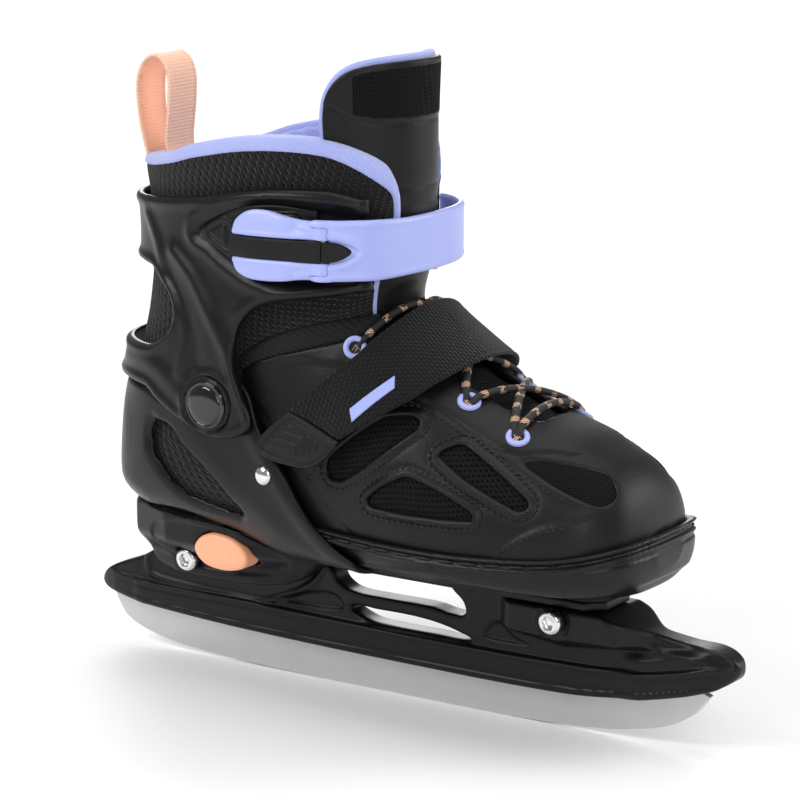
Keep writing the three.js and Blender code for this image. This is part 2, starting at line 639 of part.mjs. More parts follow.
function toe_shell() {
  const tray = sideCut([[-45, 50], [112, 50], ...TOE_SHELL_TOP]);
  const weltTop = TOE_SHELL_TOP.slice(0, 4);
  const weltBottom = [...weltTop].reverse().map(([x, z]) => [x, z - WELT_HEIGHT]);
  const weltEnd = [[0, 76], [0, 76 - WELT_HEIGHT]];
  const welt = common(
    skin(TOE_IN + 1, TOE_OUT + WELT_PROUD), sideCut([...weltTop, ...weltEnd, ...weltBottom]),
  );
  return union(common(skin(TOE_IN, TOE_OUT), tray), welt);
}

// ---- soft boot -----------------------------------------------------------------------------------

function upper_front() {
  const outline = [
    [-43.5, 50], [112, 50], [112, 120], [80, 140], [30, 170], [4, 170], [0, 157.5], [-30, 142], [-43.5, 132],
  ];
  const throat = sideCut([[62, 112], [70, 140], [20, 180], [-40, 180], [-20, 130], [10, 118]], -15, 15);
  return cut(common(skin(UPPER_IN, 0), sideCut(outline)), throat);
}

function liner_lower() {
  const outline = [[-46, 50], [-46, 114], [-99, 116], [-145, 118], [-145, 50]];
  return common(skin(-LINER_WALL, 0), sideCut(outline));
}

function liner_upper() {
  const collarOutline = [
    [-145, 166], [-145, 210], [-110, 211.5], [-92, 216], [-79, 221], [-50, 226], [-22, 226], [-8, 221],
    [0, 211], [3.5, 199], [3.5, 182], [-12, 172], [-30, 166],
  ];
  const throat = box(-30, FAR, -17, 17, 0, FAR);
  const collar = cut(common(skin(CLEARANCE, CLEARANCE + COLLAR_PAD), sideCut(collarOutline)), throat);
  const bridge = common(
    skin(LINER_IN, CUFF_IN - CLEARANCE),
    sideCut([[-145, 170], [-145, 184], [-27, 184], [-27, 168], [-49, 164], [-90, 165]]),
  );
  const rear = common(
    skin(LINER_IN, CLEARANCE + COLLAR_PAD - 1),
    sideCut([[-145, 127], [-92, 125], [-74, 138], [-50, 138], [-50, 164], [-145, 164]]),
  );
  const front = common(
    skin(LINER_IN, LINER_OUT),
    sideCut([[-90, 124], [-50, 122], [-47, 130], [-47, 152], [-37, 162], [-33, 170], [-90, 170]]),
  );
  return union(collar, bridge, rear, front);
}

function insole() {
  const top = [
    [-130, 80], [-104, 77], [-72, 75.5], [-40, 70.8], [-12, SOLE_Z + LINER_WALL + INSOLE_THICKNESS + 0.5],
    [60, SOLE_Z + LINER_WALL + INSOLE_THICKNESS + 0.5], [96, 69.5], [110, 70],
  ];
  return common(boot(-LINER_WALL - CLEARANCE), sideCut([[-130, 50], ...top, [110, 50]]));
}

function tongue_lower() {
  const outline = [[62, 105], [66, 130], [20, 157], [-12, 157], [-16, 144], [10, 118]];
  const outer = UPPER_IN - CLEARANCE;
  const band = sideCut(outline, -24, 24);
  return common(skin(outer - TONGUE_THICKNESS, outer), band);
}

function tongue_upper() {
  const outline = [[-21, 179], [30, 179], [30, 256], [-20, 256], [-23, 246], [-23, 200]];
  return common(skin(-CLEARANCE - TONGUE_THICKNESS, -CLEARANCE), sideCut(outline));
}

function pull_loop() {
  const path = [
    [-125.2, 201], [-128, 220], [-130, 236], [-127, 246], [-120, 249.5], [-114.5, 246], [-113.5, 232],
    [-115.3, 211],
  ];
  const outline = stripOutline(path, -LOOP_THICKNESS / 2, LOOP_THICKNESS / 2, 18);
  return sideCut(outline, -LOOP_WIDTH / 2, LOOP_WIDTH / 2);
}

// ---- fasteners -----------------------------------------------------------------------------------

// A mushroom-headed rivet standing on the boot at an offset, or the hole that its shank needs.
function rivetSolid(spot, offset, side, hole = false) {
  const { point, normal } = onBoot(spot, offset, side);
  const seat = point.addScaledVector(normal, CLEARANCE);
  const grow = hole ? CLEARANCE : 0;
  const tip = -RIVET_DEPTH - grow;
  const shank = [[0, tip], [RIVET_SHANK + grow, tip]];
  const head = hole
    ? [[RIVET_SHANK + grow, 1], [0, 1]]
    : [[RIVET_SHANK, 0], [RIVET_RADIUS, 0], [RIVET_RADIUS * 0.75, RIVET_HEIGHT * 0.75], [0, RIVET_HEIGHT]];
  return solidOf(stood(lathe([...shank, ...head], 10), seat, normal));
}

const MOUNT_RIVET_SPOT = [-27, 186];
const BASE_RIVET_SPOT = [-66, 187.5];

function pivot_pin(side) {
  const spot = at(...PIVOT);
  const inner = 2 * CLEARANCE;
  const flange = common(skin(inner, HEEL_IN - CLEARANCE), rodY(spot, PIVOT_FLANGE_RADIUS, -FAR, FAR));
  const shaft = common(skin(inner, CUFF_OUT), rodY(spot, PIVOT_RADIUS, -FAR, FAR));
  const lateral = box(-FAR, FAR, -FAR, 0, 0, FAR);
  const both = union(flange, shaft);
  return side === LATERAL ? common(both, lateral) : cut(both, lateral);
}

function pivot_cap(side) {
  const { point } = onBoot(PIVOT, CUFF_OUT + 2 * CLEARANCE, side);
  const r = PIVOT_CAP_RADIUS;
  const h = PIVOT_CAP_HEIGHT;
  const dome = lathe([[0, 0], [r, 0], [r, 0.35 * h], [0.86 * r, 0.75 * h], [0.5 * r, 0.95 * h], [0, h]], 18);
  if (side === LATERAL) dome.rotateX(Math.PI);
  return solidOf(dome.translate(point.x, point.y, point.z));
}

// ---- buckle --------------------------------------------------------------------------------------

const strapZ = STRAP_BOTTOM * alongZ;
const strapTop = strapZ + STRAP_WIDTH;
const STRAP_PATH = [
  [-11, -40.2], [-6, -36.8], [0, -31.2], [5, -20], [7, -8], [7.4, 0], [7, 8], [5, 20], [0, 31.5],
  [-7, 38.4], STRAP_HINGE,
];
const scaledPlan = ([x, y]) => [x * alongX, y * alongY];
const hingeAxis = scaledPlan(HINGE_AXIS);

function buckle_base() {
  return cut(
    common(
      skin(MOUNT_IN, MOUNT_OUT),
      lateralCut([[-75, 187], [-56, 201], [-21, 199], [-21, 173], [-56, 175]]),
    ),
    rivetSolid(BASE_RIVET_SPOT, MOUNT_OUT, LATERAL, true),
  );
}

function strap_mount() {
  const plate = common(
    skin(MOUNT_IN, MOUNT_OUT),
    medialCut([[-36, 176], [-36, 195], [-17.4, 197], [-17.4, 174]]),
  );
  return cut(plate, rivetSolid(MOUNT_RIVET_SPOT, MOUNT_OUT, MEDIAL, true));
}

function buckle_strap() {
  const outline = stripOutline(STRAP_PATH.map(scaledPlan), -STRAP_THICKNESS / 2, STRAP_THICKNESS / 2, 26);
  const band = planSolid(outline, strapZ, strapTop);
  const [x, y] = hingeAxis;
  const web = (z0, z1) => union(
    rodZ(hingeAxis, KNUCKLE_RADIUS, z0, z1),
    planSolid([[x, y - KNUCKLE_RADIUS], [x + 6, y], [x + 6, y + 2.4], [x, y + 2.8]], z0, z1),
  );
  const knuckleRoom = rodZ(hingeAxis, KNUCKLE_RADIUS + CLEARANCE, strapZ + EAR_HEIGHT, strapTop - EAR_HEIGHT);
  const pinBore = rodZ(hingeAxis, HINGE_PIN_RADIUS + CLEARANCE, 0, FAR);
  return cut(
    union(band, web(strapZ, strapZ + EAR_HEIGHT), web(strapTop - EAR_HEIGHT, strapTop)), knuckleRoom, pinBore,
  );
}

function strap_inlay() {
  const outline = stripOutline(
    STRAP_PATH.map(scaledPlan), STRAP_THICKNESS / 2 + CLEARANCE, STRAP_THICKNESS / 2 + 1.4, 26,
  );
  return common(
    planSolid(outline, strapZ, strapTop),
    lateralCut([[-10.5, 181.6], [-5, 183], [-0.5, 186.5], [-5, 190], [-10.5, 190.4]]),
  );
}

function lever_pin() {
  return rodZ(hingeAxis, HINGE_PIN_RADIUS, strapZ - 0.5, strapTop + 0.5);
}

const INSERT_BOTTOM = 181.4;
const INSERT_TOP = 190.2;
const LEVER_FLOOR = 1.7; // what is left under the lever's trough
const leverFloor = LEVER_IN + LEVER_FLOOR;

function lever() {
  const outline = [
    [-53, 177], [-53, 197], [-48, 201.5], [-39, 203], [-28, 199], [-20, 197], [-20, 173.6], [-28, 171.5],
    [-39, 170.8], [-48, 172.5],
  ];
  const plate = common(skin(LEVER_IN, LEVER_OUT), lateralCut(outline));
  const trough = common(
    skin(leverFloor, LEVER_OUT + 5),
    lateralCut([
      [-60, INSERT_BOTTOM - CLEARANCE], [-60, INSERT_TOP + CLEARANCE], [-16, INSERT_TOP + CLEARANCE],
      [-16, INSERT_BOTTOM - CLEARANCE],
    ]),
  );
  const [x, y] = hingeAxis;
  const arm = 5.7 * alongX;
  const z0 = strapZ + EAR_HEIGHT + CLEARANCE;
  const z1 = strapTop - EAR_HEIGHT - CLEARANCE;
  const knuckle = union(
    rodZ(hingeAxis, KNUCKLE_RADIUS, z0, z1),
    planSolid([[x - arm, y - 4.6], [x, y - KNUCKLE_RADIUS], [x, y + 1], [x - arm, y - 1.2]], z0, z1),
  );
  return cut(union(cut(plate, trough), knuckle), rodZ(hingeAxis, HINGE_PIN_RADIUS + CLEARANCE, 0, FAR));
}

function lever_insert() {
  return common(
    skin(leverFloor + CLEARANCE, LEVER_OUT - 0.4),
    lateralCut([[-53.6, INSERT_BOTTOM], [-53.6, INSERT_TOP], [-21.5, INSERT_TOP], [-21.5, INSERT_BOTTOM]]),
  );
}

// ---- instep strap, eyelets and laces ---------------------------------------------------------------

const instepIn = HEEL_OUT + 2 * CLEARANCE;
const instepOut = instepIn + INSTEP_STRAP_THICKNESS;
const WEBBING_END = [[-30, 121.6], [-4, 113.8]]; // upper and lower corner where the webbing is sewn on

function instep_strap() {
  return common(
    skin(instepIn, instepOut),
    sideCut([
      WEBBING_END[0], [-5.4, 144], [4, 156], [10, 175], [60, 165], [33, 141], [21.8, 130],
      WEBBING_END[1],
    ]),
  );
}

// The end pieces that the webbing is sewn to: a rubber tab outside, a stitched patch inside.
function strapEnd(corners, sideOf) {
  const [upper, lower] = WEBBING_END;
  const seam = [[lower[0] - 0.15, lower[1] - 0.5], [upper[0] - 0.15, upper[1] - 0.5]];
  return common(skin(instepIn, instepOut), sideOf([...seam, ...corners]));
}

// An eyelet's ring, or with "grow" the room that the lace leaves for it.
function eyelet(spot, side, grow = 0) {
  const { point, normal } = onBoot(spot, CLEARANCE + EYELET_WIRE, side);
  const ring = new THREE.TorusGeometry(EYELET_RADIUS, EYELET_WIRE + grow, 5, 12).rotateX(Math.PI / 2);
  return solidOf(stood(ring, point, normal));
}

// The stretch of lace from a lateral eyelet, over the boot, to a medial one.
function laceRun(from, to) {
  const offset = LACE_RADIUS + 1;
  const start = locate(from, offset);
  const end = locate(to, offset);
  const points = [];
  for (let i = 0; i <= 8; i++) {
    const share = i / 8;
    const u = THREE.MathUtils.lerp(start.u, end.u, share);
    const across = THREE.MathUtils.lerp(-Math.sqrt(start.t), Math.sqrt(end.t), share);
    points.push(bootPoint(u, across * across, offset, across < 0 ? LATERAL : MEDIAL));
  }
  return tube(points, LACE_RADIUS, 9, 5);
}

// One lace: straight across the lowest eyelets, then crossing over at each row.
function lace(eyelets) {
  const lowest = EYELET_ROWS.length - 1;
  const runs = [laceRun(EYELET_ROWS[lowest], EYELET_ROWS[lowest])];
  for (let row = 0; row < lowest; row++) {
    runs.push(laceRun(EYELET_ROWS[row], EYELET_ROWS[row + 1]));
    runs.push(laceRun(EYELET_ROWS[row + 1], EYELET_ROWS[row]));
  }
  return cut(union(...runs), ...eyelets);
}

// ---- the assembly --------------------------------------------------------------------------------

const material = (color, roughness, metalness = 0) => {
  return new THREE.MeshStandardMaterial({ color, roughness, metalness });
};
const blackShell = material(0x242426, 0.45);
const blackSatin = material(0x2b2b2d, 0.55);
const blackLeather = material(0x222222, 0.6);
const blackMesh = material(0x1a1a1b, 0.9);
const blackRubber = material(0x262626, 0.7);
const blackGloss = material(0x0c0c0d, 0.12);
const lavender = material(0xaeb8ee, 0.4);
const peach = material(0xffbb95, 0.45);
const steel = material(0xd2d2d2, 0.35, 1);
const chrome = material(0xe8e8e8, 0.15, 1);
const footbed = material(0x3a3a3c, 0.9);

const skate = new THREE.Group();
skate.name = "ice_skate";

function add(name, solid, look) {
  const mesh = new THREE.Mesh(geometryOf(solid), look);
  mesh.name = name;
  skate.add(mesh);
}

add("blade", blade(), steel);
add("blade_holder", blade_holder(), blackShell);
add("rear_bolt", mount_bolt(REAR_BOLT), chrome);
add("front_bolt", mount_bolt(FRONT_BOLT), chrome);
add("rear_nut", mount_nut(REAR_BOLT), chrome);
add("front_nut", mount_nut(FRONT_BOLT), chrome);
add("sole_base", sole_base(), blackShell);
add("heel_shell", heel_shell(), blackSatin);
add("liner_lower", liner_lower(), blackMesh);
add("insole", insole(), footbed);
for (const [name, side] of [["lateral", LATERAL], ["medial", MEDIAL]]) {
  add(`pivot_pin_${name}`, pivot_pin(side), steel);
  add(`pivot_cap_${name}`, pivot_cap(side), blackGloss);
  add(`side_rivet_${name}`, rivetSolid(SIDE_RIVET, HEEL_OUT, side), chrome);
}

add("push_button", push_button(), peach);
add("button_spring", button_spring(), steel);

add("cuff", cuff(), blackSatin);
add("liner_upper", liner_upper(), blackMesh);
add("tongue_upper", tongue_upper(), blackLeather);
add("pull_loop", pull_loop(), peach);
add("buckle_base", buckle_base(), blackShell);
add("base_rivet", rivetSolid(BASE_RIVET_SPOT, MOUNT_OUT, LATERAL), chrome);
add("strap_mount", strap_mount(), lavender);
add("mount_rivet", rivetSolid(MOUNT_RIVET_SPOT, MOUNT_OUT, MEDIAL), chrome);

add("buckle_strap", buckle_strap(), lavender);
add("strap_inlay", strap_inlay(), blackRubber);
add("lever_pin", lever_pin(), chrome);
add("lever", lever(), lavender);
add("lever_insert", lever_insert(), blackRubber);

add("toe_shell", toe_shell(), blackShell);
add("size_rack", size_rack(), blackShell);
add("upper_front", upper_front(), blackLeather);
add("tongue_lower", tongue_lower(), blackMesh);
add("instep_strap", instep_strap(), blackMesh);
const tabCorners = [[-39, 113], [-45.5, 104.8], [-39.4, 100.7], [-19, 100.3], [-7.4, 107.7]];
const anchorCorners = [[-38, 112], [-24, 104], [-12, 105]];
add("strap_tab", strapEnd(tabCorners, lateralCut), blackRubber);
add("strap_anchor", strapEnd(anchorCorners, medialCut), blackLeather);
EYELET_ROWS.forEach((spot, row) => {
  add(`eyelet_lateral_${row + 1}`, eyelet(spot, LATERAL), lavender);
  add(`eyelet_medial_${row + 1}`, eyelet(spot, MEDIAL), lavender);
});
const eyeletRoom = EYELET_ROWS.flatMap((spot) => {
  return [LATERAL, MEDIAL].map((side) => eyelet(spot, side, CLEARANCE));
});
add("lace", lace(eyeletRoom), blackMesh);

export default skate;
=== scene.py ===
# %% [markdown]
# # An adjustable ice skate, built around its CAD frame
# The part's engineering model is loaded first and never changed. It fixes every size and every
# joint. This script dresses it: moulded shells, padded liner, leather, knitted mesh, webbing,
# laces, steel. Each step says what the piece is on a real skate and why it is made this way.

# %% Load the frame
import math

import bmesh
import bpy
import numpy as np
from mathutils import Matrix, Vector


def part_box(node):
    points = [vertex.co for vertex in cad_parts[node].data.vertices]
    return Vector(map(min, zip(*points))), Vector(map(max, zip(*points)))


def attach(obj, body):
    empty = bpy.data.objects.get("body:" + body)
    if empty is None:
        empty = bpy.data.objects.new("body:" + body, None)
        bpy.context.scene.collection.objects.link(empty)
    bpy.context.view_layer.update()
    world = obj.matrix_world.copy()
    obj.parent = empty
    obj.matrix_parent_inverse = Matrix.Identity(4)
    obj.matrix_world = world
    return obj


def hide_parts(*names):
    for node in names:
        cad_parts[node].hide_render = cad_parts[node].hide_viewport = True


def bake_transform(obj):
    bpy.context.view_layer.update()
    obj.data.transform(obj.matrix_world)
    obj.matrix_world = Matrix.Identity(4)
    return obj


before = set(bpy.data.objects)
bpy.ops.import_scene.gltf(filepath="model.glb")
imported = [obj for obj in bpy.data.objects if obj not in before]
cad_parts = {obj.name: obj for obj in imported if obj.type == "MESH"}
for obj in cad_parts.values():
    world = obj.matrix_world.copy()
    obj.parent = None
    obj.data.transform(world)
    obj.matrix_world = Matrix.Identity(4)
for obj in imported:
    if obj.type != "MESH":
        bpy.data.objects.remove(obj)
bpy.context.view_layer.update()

import openvdb as vdb
from mathutils import Matrix, Vector

# %% [markdown]
# ## Camera, light and floor
# A product shot: a long lens from the buckle side, a little above, a pale floor and big soft
# lamps. Black plastic only reads through the lamps it mirrors, so the key, front and top lamps
# draw highlights along the shells, and two rim lamps behind the skate part it from the floor.

# %% Scene helpers
def added(name, data):
    """An object that holds this data, linked to the scene."""
    thing = bpy.data.objects.new(name, data)
    bpy.context.scene.collection.objects.link(thing)
    return thing

def mesh_of(name, bm, *materials):
    """What a bmesh holds, as a mesh with its materials; the bmesh is freed."""
    mesh = bpy.data.meshes.new(name)
    bm.to_mesh(mesh)
    bm.free()
    for material in materials:
        mesh.materials.append(material)
    return mesh

print("scene helpers ready")

# %% Camera
CAMERA_AZIMUTH = math.radians(33.5)
CAMERA_ELEVATION = math.radians(12.5)
CAMERA_DISTANCE = 1.3
CAMERA_TARGET = Vector((-0.0086, 0, 0.1198))
BACK = Vector((
    math.sin(CAMERA_AZIMUTH) * math.cos(CAMERA_ELEVATION),
    -math.cos(CAMERA_AZIMUTH) * math.cos(CAMERA_ELEVATION),
    math.sin(CAMERA_ELEVATION),
))
camera = added("camera", bpy.data.cameras.new("camera"))
camera.data.lens = 149.2
camera.data.sensor_width = 36
camera.location = CAMERA_TARGET + BACK * CAMERA_DISTANCE
camera.rotation_mode = "QUATERNION"
camera.rotation_quaternion = (-BACK).to_track_quat("-Z", "Y")
bpy.context.scene.camera = camera
print("camera at", camera.location)

# %% Light and floor
def lamp(name, place, aim, size, power):
    """A soft rectangular lamp at a place in metres, aimed at a point."""
    data = bpy.data.lights.new(name, "AREA")
    data.shape = "RECTANGLE"
    data.size, data.size_y = size
    data.energy = power
    thing = added(name, data)
    thing.location = place
    thing.rotation_mode = "QUATERNION"
    thing.rotation_quaternion = (Vector(aim) - Vector(place)).to_track_quat("-Z", "Y")

MIDDLE = (-0.01, 0, 0.11)
lamp("key", (-0.9, -1.5, 1.5), MIDDLE, (1.0, 1.0), 25)
lamp("front", (1.3, -1.2, 0.9), MIDDLE, (0.9, 1.1), 10)
lamp("top", (0, 0.2, 1.9), MIDDLE, (2.2, 1.4), 16)
lamp("rim", (-2.2, 3.0, 1.8), MIDDLE, (1.6, 2.2), 70)
lamp("rim_toe", (2.4, 2.4, 1.4), MIDDLE, (1.2, 2.0), 45)

world = bpy.data.worlds.new("studio")
bpy.context.scene.world = world
world.use_nodes = True
world.node_tree.nodes["Background"].inputs[0].default_value = (1, 1, 1, 1)
world.node_tree.nodes["Background"].inputs[1].default_value = 0.3
bpy.context.scene.view_settings.view_transform = "Standard"

bm = bmesh.new()
bmesh.ops.create_grid(bm, x_segments=1, y_segments=1, size=8)
floor = added("floor", mesh_of("floor", bm))
print("lamps and floor in place")

# %% [markdown]
# ## The last: one surface that every layer follows
# A boot is lofted over a last. Here the last is a row of sections from the toe tip to the top of
# the tongue. Each section stands in its own plane, given by its top and bottom point in the side
# view, and swells to a half-width in between. Shells, leather, straps and buckle are all offsets
# of this one surface, so they nest without fitting by eye. Sizes in this part are millimetres.

# %% Sections
MM = 0.001
LATERAL, MEDIAL = -1, 1
# top x, z, bottom x, z, half-width, where it is widest, power above, power below, bias, toe
SECTIONS = np.array([
    (107, 84, 107, 70, 10, .5, 2.2, 2.4, 4, 1),
    (103, 98, 104, 63, 25, .55, 2.2, 3, 4, .8),
    (96, 107, 96, 61, 34, .6, 2.2, 3.4, 3.5, .4),
    (80, 115.5, 82, 60.5, 41.5, .65, 2.1, 4, 3, 0),
    (60, 123, 62, 60.5, 45.5, .68, 2, 4, 2, 0),
    (38, 131.5, 42, 60.5, 47.5, .68, 2, 4, 1, 0),
    (16, 145, 20, 60.5, 47, .66, 2, 4, 0, 0),
    (4, 155, -12, 60.5, 44, .62, 2, 4, 0, 0),
    (0, 161, -40, 60.5, 40.5, .6, 2, 4, 0, 0),
    (-1, 166, -72, 66, 38, .55, 2.1, 3.6, 0, 0),
    (0, 171, -104, 67, 37, .55, 2.1, 3.2, 0, 0),
    (1, 176, -129, 76, 37, .52, 2.2, 2.8, 0, 0),
    (2, 182, -131, 92, 37, .5, 2.2, 2.5, 0, 0),
    (3, 188, -126.5, 120, 37, .5, 2.2, 2.4, 0, 0),
    (4, 194, -120, 150, 36, .5, 2.2, 2.3, 0, 0),
    (4, 200, -117, 178, 35.5, .5, 2.2, 2.3, 0, 0),
    (4, 206, -118, 200, 36, .5, 2.2, 2.3, 0, 0),
    (4, 230, -120, 230, 37, .5, 2.2, 2.3, 0, 0),
    (5, 256, -121, 256, 37, .5, 2.2, 2.3, 0, 0),
], float)
LAST_SECTION = len(SECTIONS) - 1

def steady_slopes(values):
    """Slopes for a curve through the values that never overshoots them."""
    step = np.diff(values, axis=0)
    before, after = step[:-1], step[1:]
    same = before * after > 0
    middle = np.where(same, 2 * before * after / np.where(same, before + after, 1), 0)
    return np.vstack([step[:1], middle, step[-1:]])

SLOPES = steady_slopes(SECTIONS)

def section_at(u, offset=0.0):
    """The sections at fractional places u, grown by an offset: top, bottom, half and the rest."""
    u = np.atleast_1d(np.asarray(u, float))
    i = np.clip(np.floor(u).astype(int), 0, LAST_SECTION - 1)
    f = (u - i)[:, None]
    a, b, p, q = SECTIONS[i], SECTIONS[i + 1], SLOPES[i], SLOPES[i + 1]
    row = (a * (1 + 2 * f) * (1 - f) ** 2 + p * f * (1 - f) ** 2
           + b * f ** 2 * (3 - 2 * f) - q * f ** 2 * (1 - f))
    top, bottom, half = row[:, 0:2].copy(), row[:, 2:4].copy(), row[:, 4]
    length = np.linalg.norm(top - bottom, axis=1)
    up = (top - bottom) / length[:, None]
    moved = np.maximum(offset, -0.8 * np.minimum(half, length / 2))
    top += up * moved[:, None]
    bottom -= up * moved[:, None]
    top[:, 0] += offset * row[:, 9]
    bottom[:, 0] += offset * row[:, 9]
    return top, bottom, half + moved, row[:, 5], row[:, 6], row[:, 7], row[:, 8]

def fullness(t, wide, above, below):
    """Share of the half-width at a share t of the way down a section."""
    upper = t < wide
    away = np.where(upper, (wide - t) / wide, (t - wide) / (1 - wide))
    power = np.where(upper, above, below)
    return np.power(np.maximum(0, 1 - np.power(np.clip(away, 0, 1), power)), 1 / power)

def last_point(u, t, offset, side):
    """Points of the last's surface at an offset, in millimetres."""
    top, bottom, half, wide, above, below, bias = section_at(u, offset)
    t = np.broadcast_to(np.asarray(t, float), half.shape)
    spot = top + (bottom - top) * t[:, None]
    y = bias + side * half * fullness(t, wide, above, below)
    return np.stack([spot[:, 0], y, spot[:, 1]], 1)

def locate(x, z, offset=0.0):
    """Which section u, and how far down it t, the side view shows at (x, z)."""
    x, z = np.atleast_1d(np.asarray(x, float)), np.atleast_1d(np.asarray(z, float))
    def behind(u):
        top, bottom = section_at(u, offset)[:2]
        across = bottom - top
        return across[:, 0] * (z - top[:, 1]) - across[:, 1] * (x - top[:, 0])
    coarse = np.stack([behind(np.full(len(x), float(k))) > 0 for k in range(LAST_SECTION + 1)])
    changed = coarse[1:] != coarse[:-1]
    past_all = np.where(coarse[0], LAST_SECTION - 1, 0)
    first = np.where(changed.any(0), changed.argmax(0), past_all)
    low, high = first.astype(float), first + 1.0
    before = coarse[first, np.arange(len(x))]
    for _ in range(22):
        middle = (low + high) / 2
        same = (behind(middle) > 0) == before
        low, high = np.where(same, middle, low), np.where(same, high, middle)
    top, bottom = section_at(low, offset)[:2]
    across = bottom - top
    t = ((x - top[:, 0]) * across[:, 0] + (z - top[:, 1]) * across[:, 1]) / (across ** 2).sum(1)
    return low, np.clip(t, 0, 1)

def on_last(points, offset, side):
    """Side-view points (x, z) laid on the last at an offset."""
    points = np.asarray(points, float)
    u, t = locate(points[:, 0], points[:, 1], offset)
    return last_point(u, t, offset, side)

# side-view places that several pieces share
PIVOT = (-69, 119)
REAR_BOLT, FRONT_BOLT = (-100.8, 45.5), (71.6, 46.5)
print("pivot lies at", on_last([PIVOT], 8.4, LATERAL).round(1))

# %% [markdown]
# ## Moulding from distance fields
# Moulded plastic has no sharp corner anywhere: every edge is rounded, every rib melts into its
# wall. Such shapes are easier to write as distances than as faces. For each point of a grid we
# keep how far it is outside the piece, combine those distances with a smooth maximum, and let
# OpenVDB draw the surface where the distance is zero. The last itself becomes such a field.

# %% Field of the last
VOXEL = 0.9
FIELD_LOW = np.array([-153.0, -63.0, 36.0])
FIELD_HIGH = np.array([126.0, 63.0, 270.0])
FIELD_ORIGIN = np.floor(FIELD_LOW / VOXEL).astype(int)

def last_field():
    """Signed distance to the last, in millimetres, on the grid."""
    around = 96
    places = np.linspace(0, LAST_SECTION, LAST_SECTION * 8 + 1)
    angles = np.linspace(0, 2 * math.pi, around + 1)[:-1]
    rings = [last_point(places, (1 - math.cos(a)) / 2, 0, LATERAL if a < math.pi else MEDIAL)
             for a in angles]
    grid = np.stack(rings, 1)
    grid[-1, :, 2] += 20
    count = len(places)
    points = grid.reshape(-1, 3)
    index = np.arange(count * around).reshape(count, around)
    beside = np.roll(index, -1, 1)
    quads = np.stack([index[:-1], index[1:], beside[1:], beside[:-1]], -1).reshape(-1, 4)
    caps = []
    for ring, flip in ((index[0], False), (index[-1], True)):
        fan = [(ring[0], ring[i], ring[i + 1]) for i in range(1, around - 1)]
        caps += [face[::-1] for face in fan] if flip else fan
    transform = vdb.createLinearTransform(voxelSize=VOXEL)
    level = vdb.FloatGrid.createLevelSetFromPolygons(
        points.astype(np.float32), triangles=np.array(caps, np.uint32),
        quads=quads.astype(np.uint32), transform=transform, halfWidth=24)
    size = np.ceil((FIELD_HIGH - FIELD_LOW) / VOXEL).astype(int)
    values = np.zeros(tuple(size), np.float32)
    level.copyToArray(values, ijk=tuple(int(v) for v in FIELD_ORIGIN))
    return values

LAST_FIELD = last_field()
print("field", LAST_FIELD.shape, "deepest", LAST_FIELD.min())

def sample(field, origin, step, points):
    """Values of a grid between its points, by weighting the eight corners round each place."""
    place = (points - origin) / step
    cell = np.clip(np.floor(place).astype(int), 0, np.array(field.shape) - 2)
    f = np.clip(place - cell, 0, 1)
    i, j, k = cell[:, 0], cell[:, 1], cell[:, 2]
    u, v, w = f[:, 0], f[:, 1], f[:, 2]
    low = (field[i, j, k] * (1 - u) + field[i + 1, j, k] * u) * (1 - v) \
        + (field[i, j + 1, k] * (1 - u) + field[i + 1, j + 1, k] * u) * v
    high = (field[i, j, k + 1] * (1 - u) + field[i + 1, j, k + 1] * u) * (1 - v) \
        + (field[i, j + 1, k + 1] * (1 - u) + field[i + 1, j + 1, k + 1] * u) * v
    return low * (1 - w) + high * w

# %% Blocks of space, and ways to join distances
class Block:
    """A box of grid points: x, y, z as columns that broadcast, and the last's distance there."""
    def __init__(self, low, high, step=VOXEL, last=True):
        self.step = step
        if last and step == VOXEL:
            a = np.clip(np.round(np.array(low) / step).astype(int) - FIELD_ORIGIN, 0, None)
            b = np.minimum(np.round(np.array(high) / step).astype(int) - FIELD_ORIGIN,
                           np.array(LAST_FIELD.shape))
            self.last = LAST_FIELD[a[0]:b[0], a[1]:b[1], a[2]:b[2]]
            self.low = (a + FIELD_ORIGIN) * step
            counts = self.last.shape
        else:
            self.low = np.array(low, float)
            counts = tuple(np.ceil((np.array(high) - self.low) / step).astype(int) + 1)
        axes = [self.low[i] + step * np.arange(counts[i]) for i in range(3)]
        self.x = axes[0][:, None, None]
        self.y = axes[1][None, :, None]
        self.z = axes[2][None, None, :]
        if last and step != VOXEL:
            grid = np.stack(np.meshgrid(*axes, indexing="ij"), -1).reshape(-1, 3)
            values = sample(LAST_FIELD, FIELD_ORIGIN * VOXEL, VOXEL, grid)
            self.last = values.reshape(counts).astype(np.float32)

def joined(a, b, round_=0.0):
    """Where both are inside, with the corner between them rounded."""
    if round_ <= 0:
        return np.maximum(a, b)
    h = np.maximum(round_ - np.abs(a - b), 0) / round_
    return np.maximum(a, b) + h * h * round_ / 4

def merged(a, b, round_=0.0):
    """Where either is inside, with the corner between them filled."""
    return -joined(-a, -b, round_)

def ease(value, start, end):
    """0 before start, 1 after end, smooth between."""
    t = np.clip((value - start) / (end - start), 0, 1)
    return t * t * (3 - 2 * t)

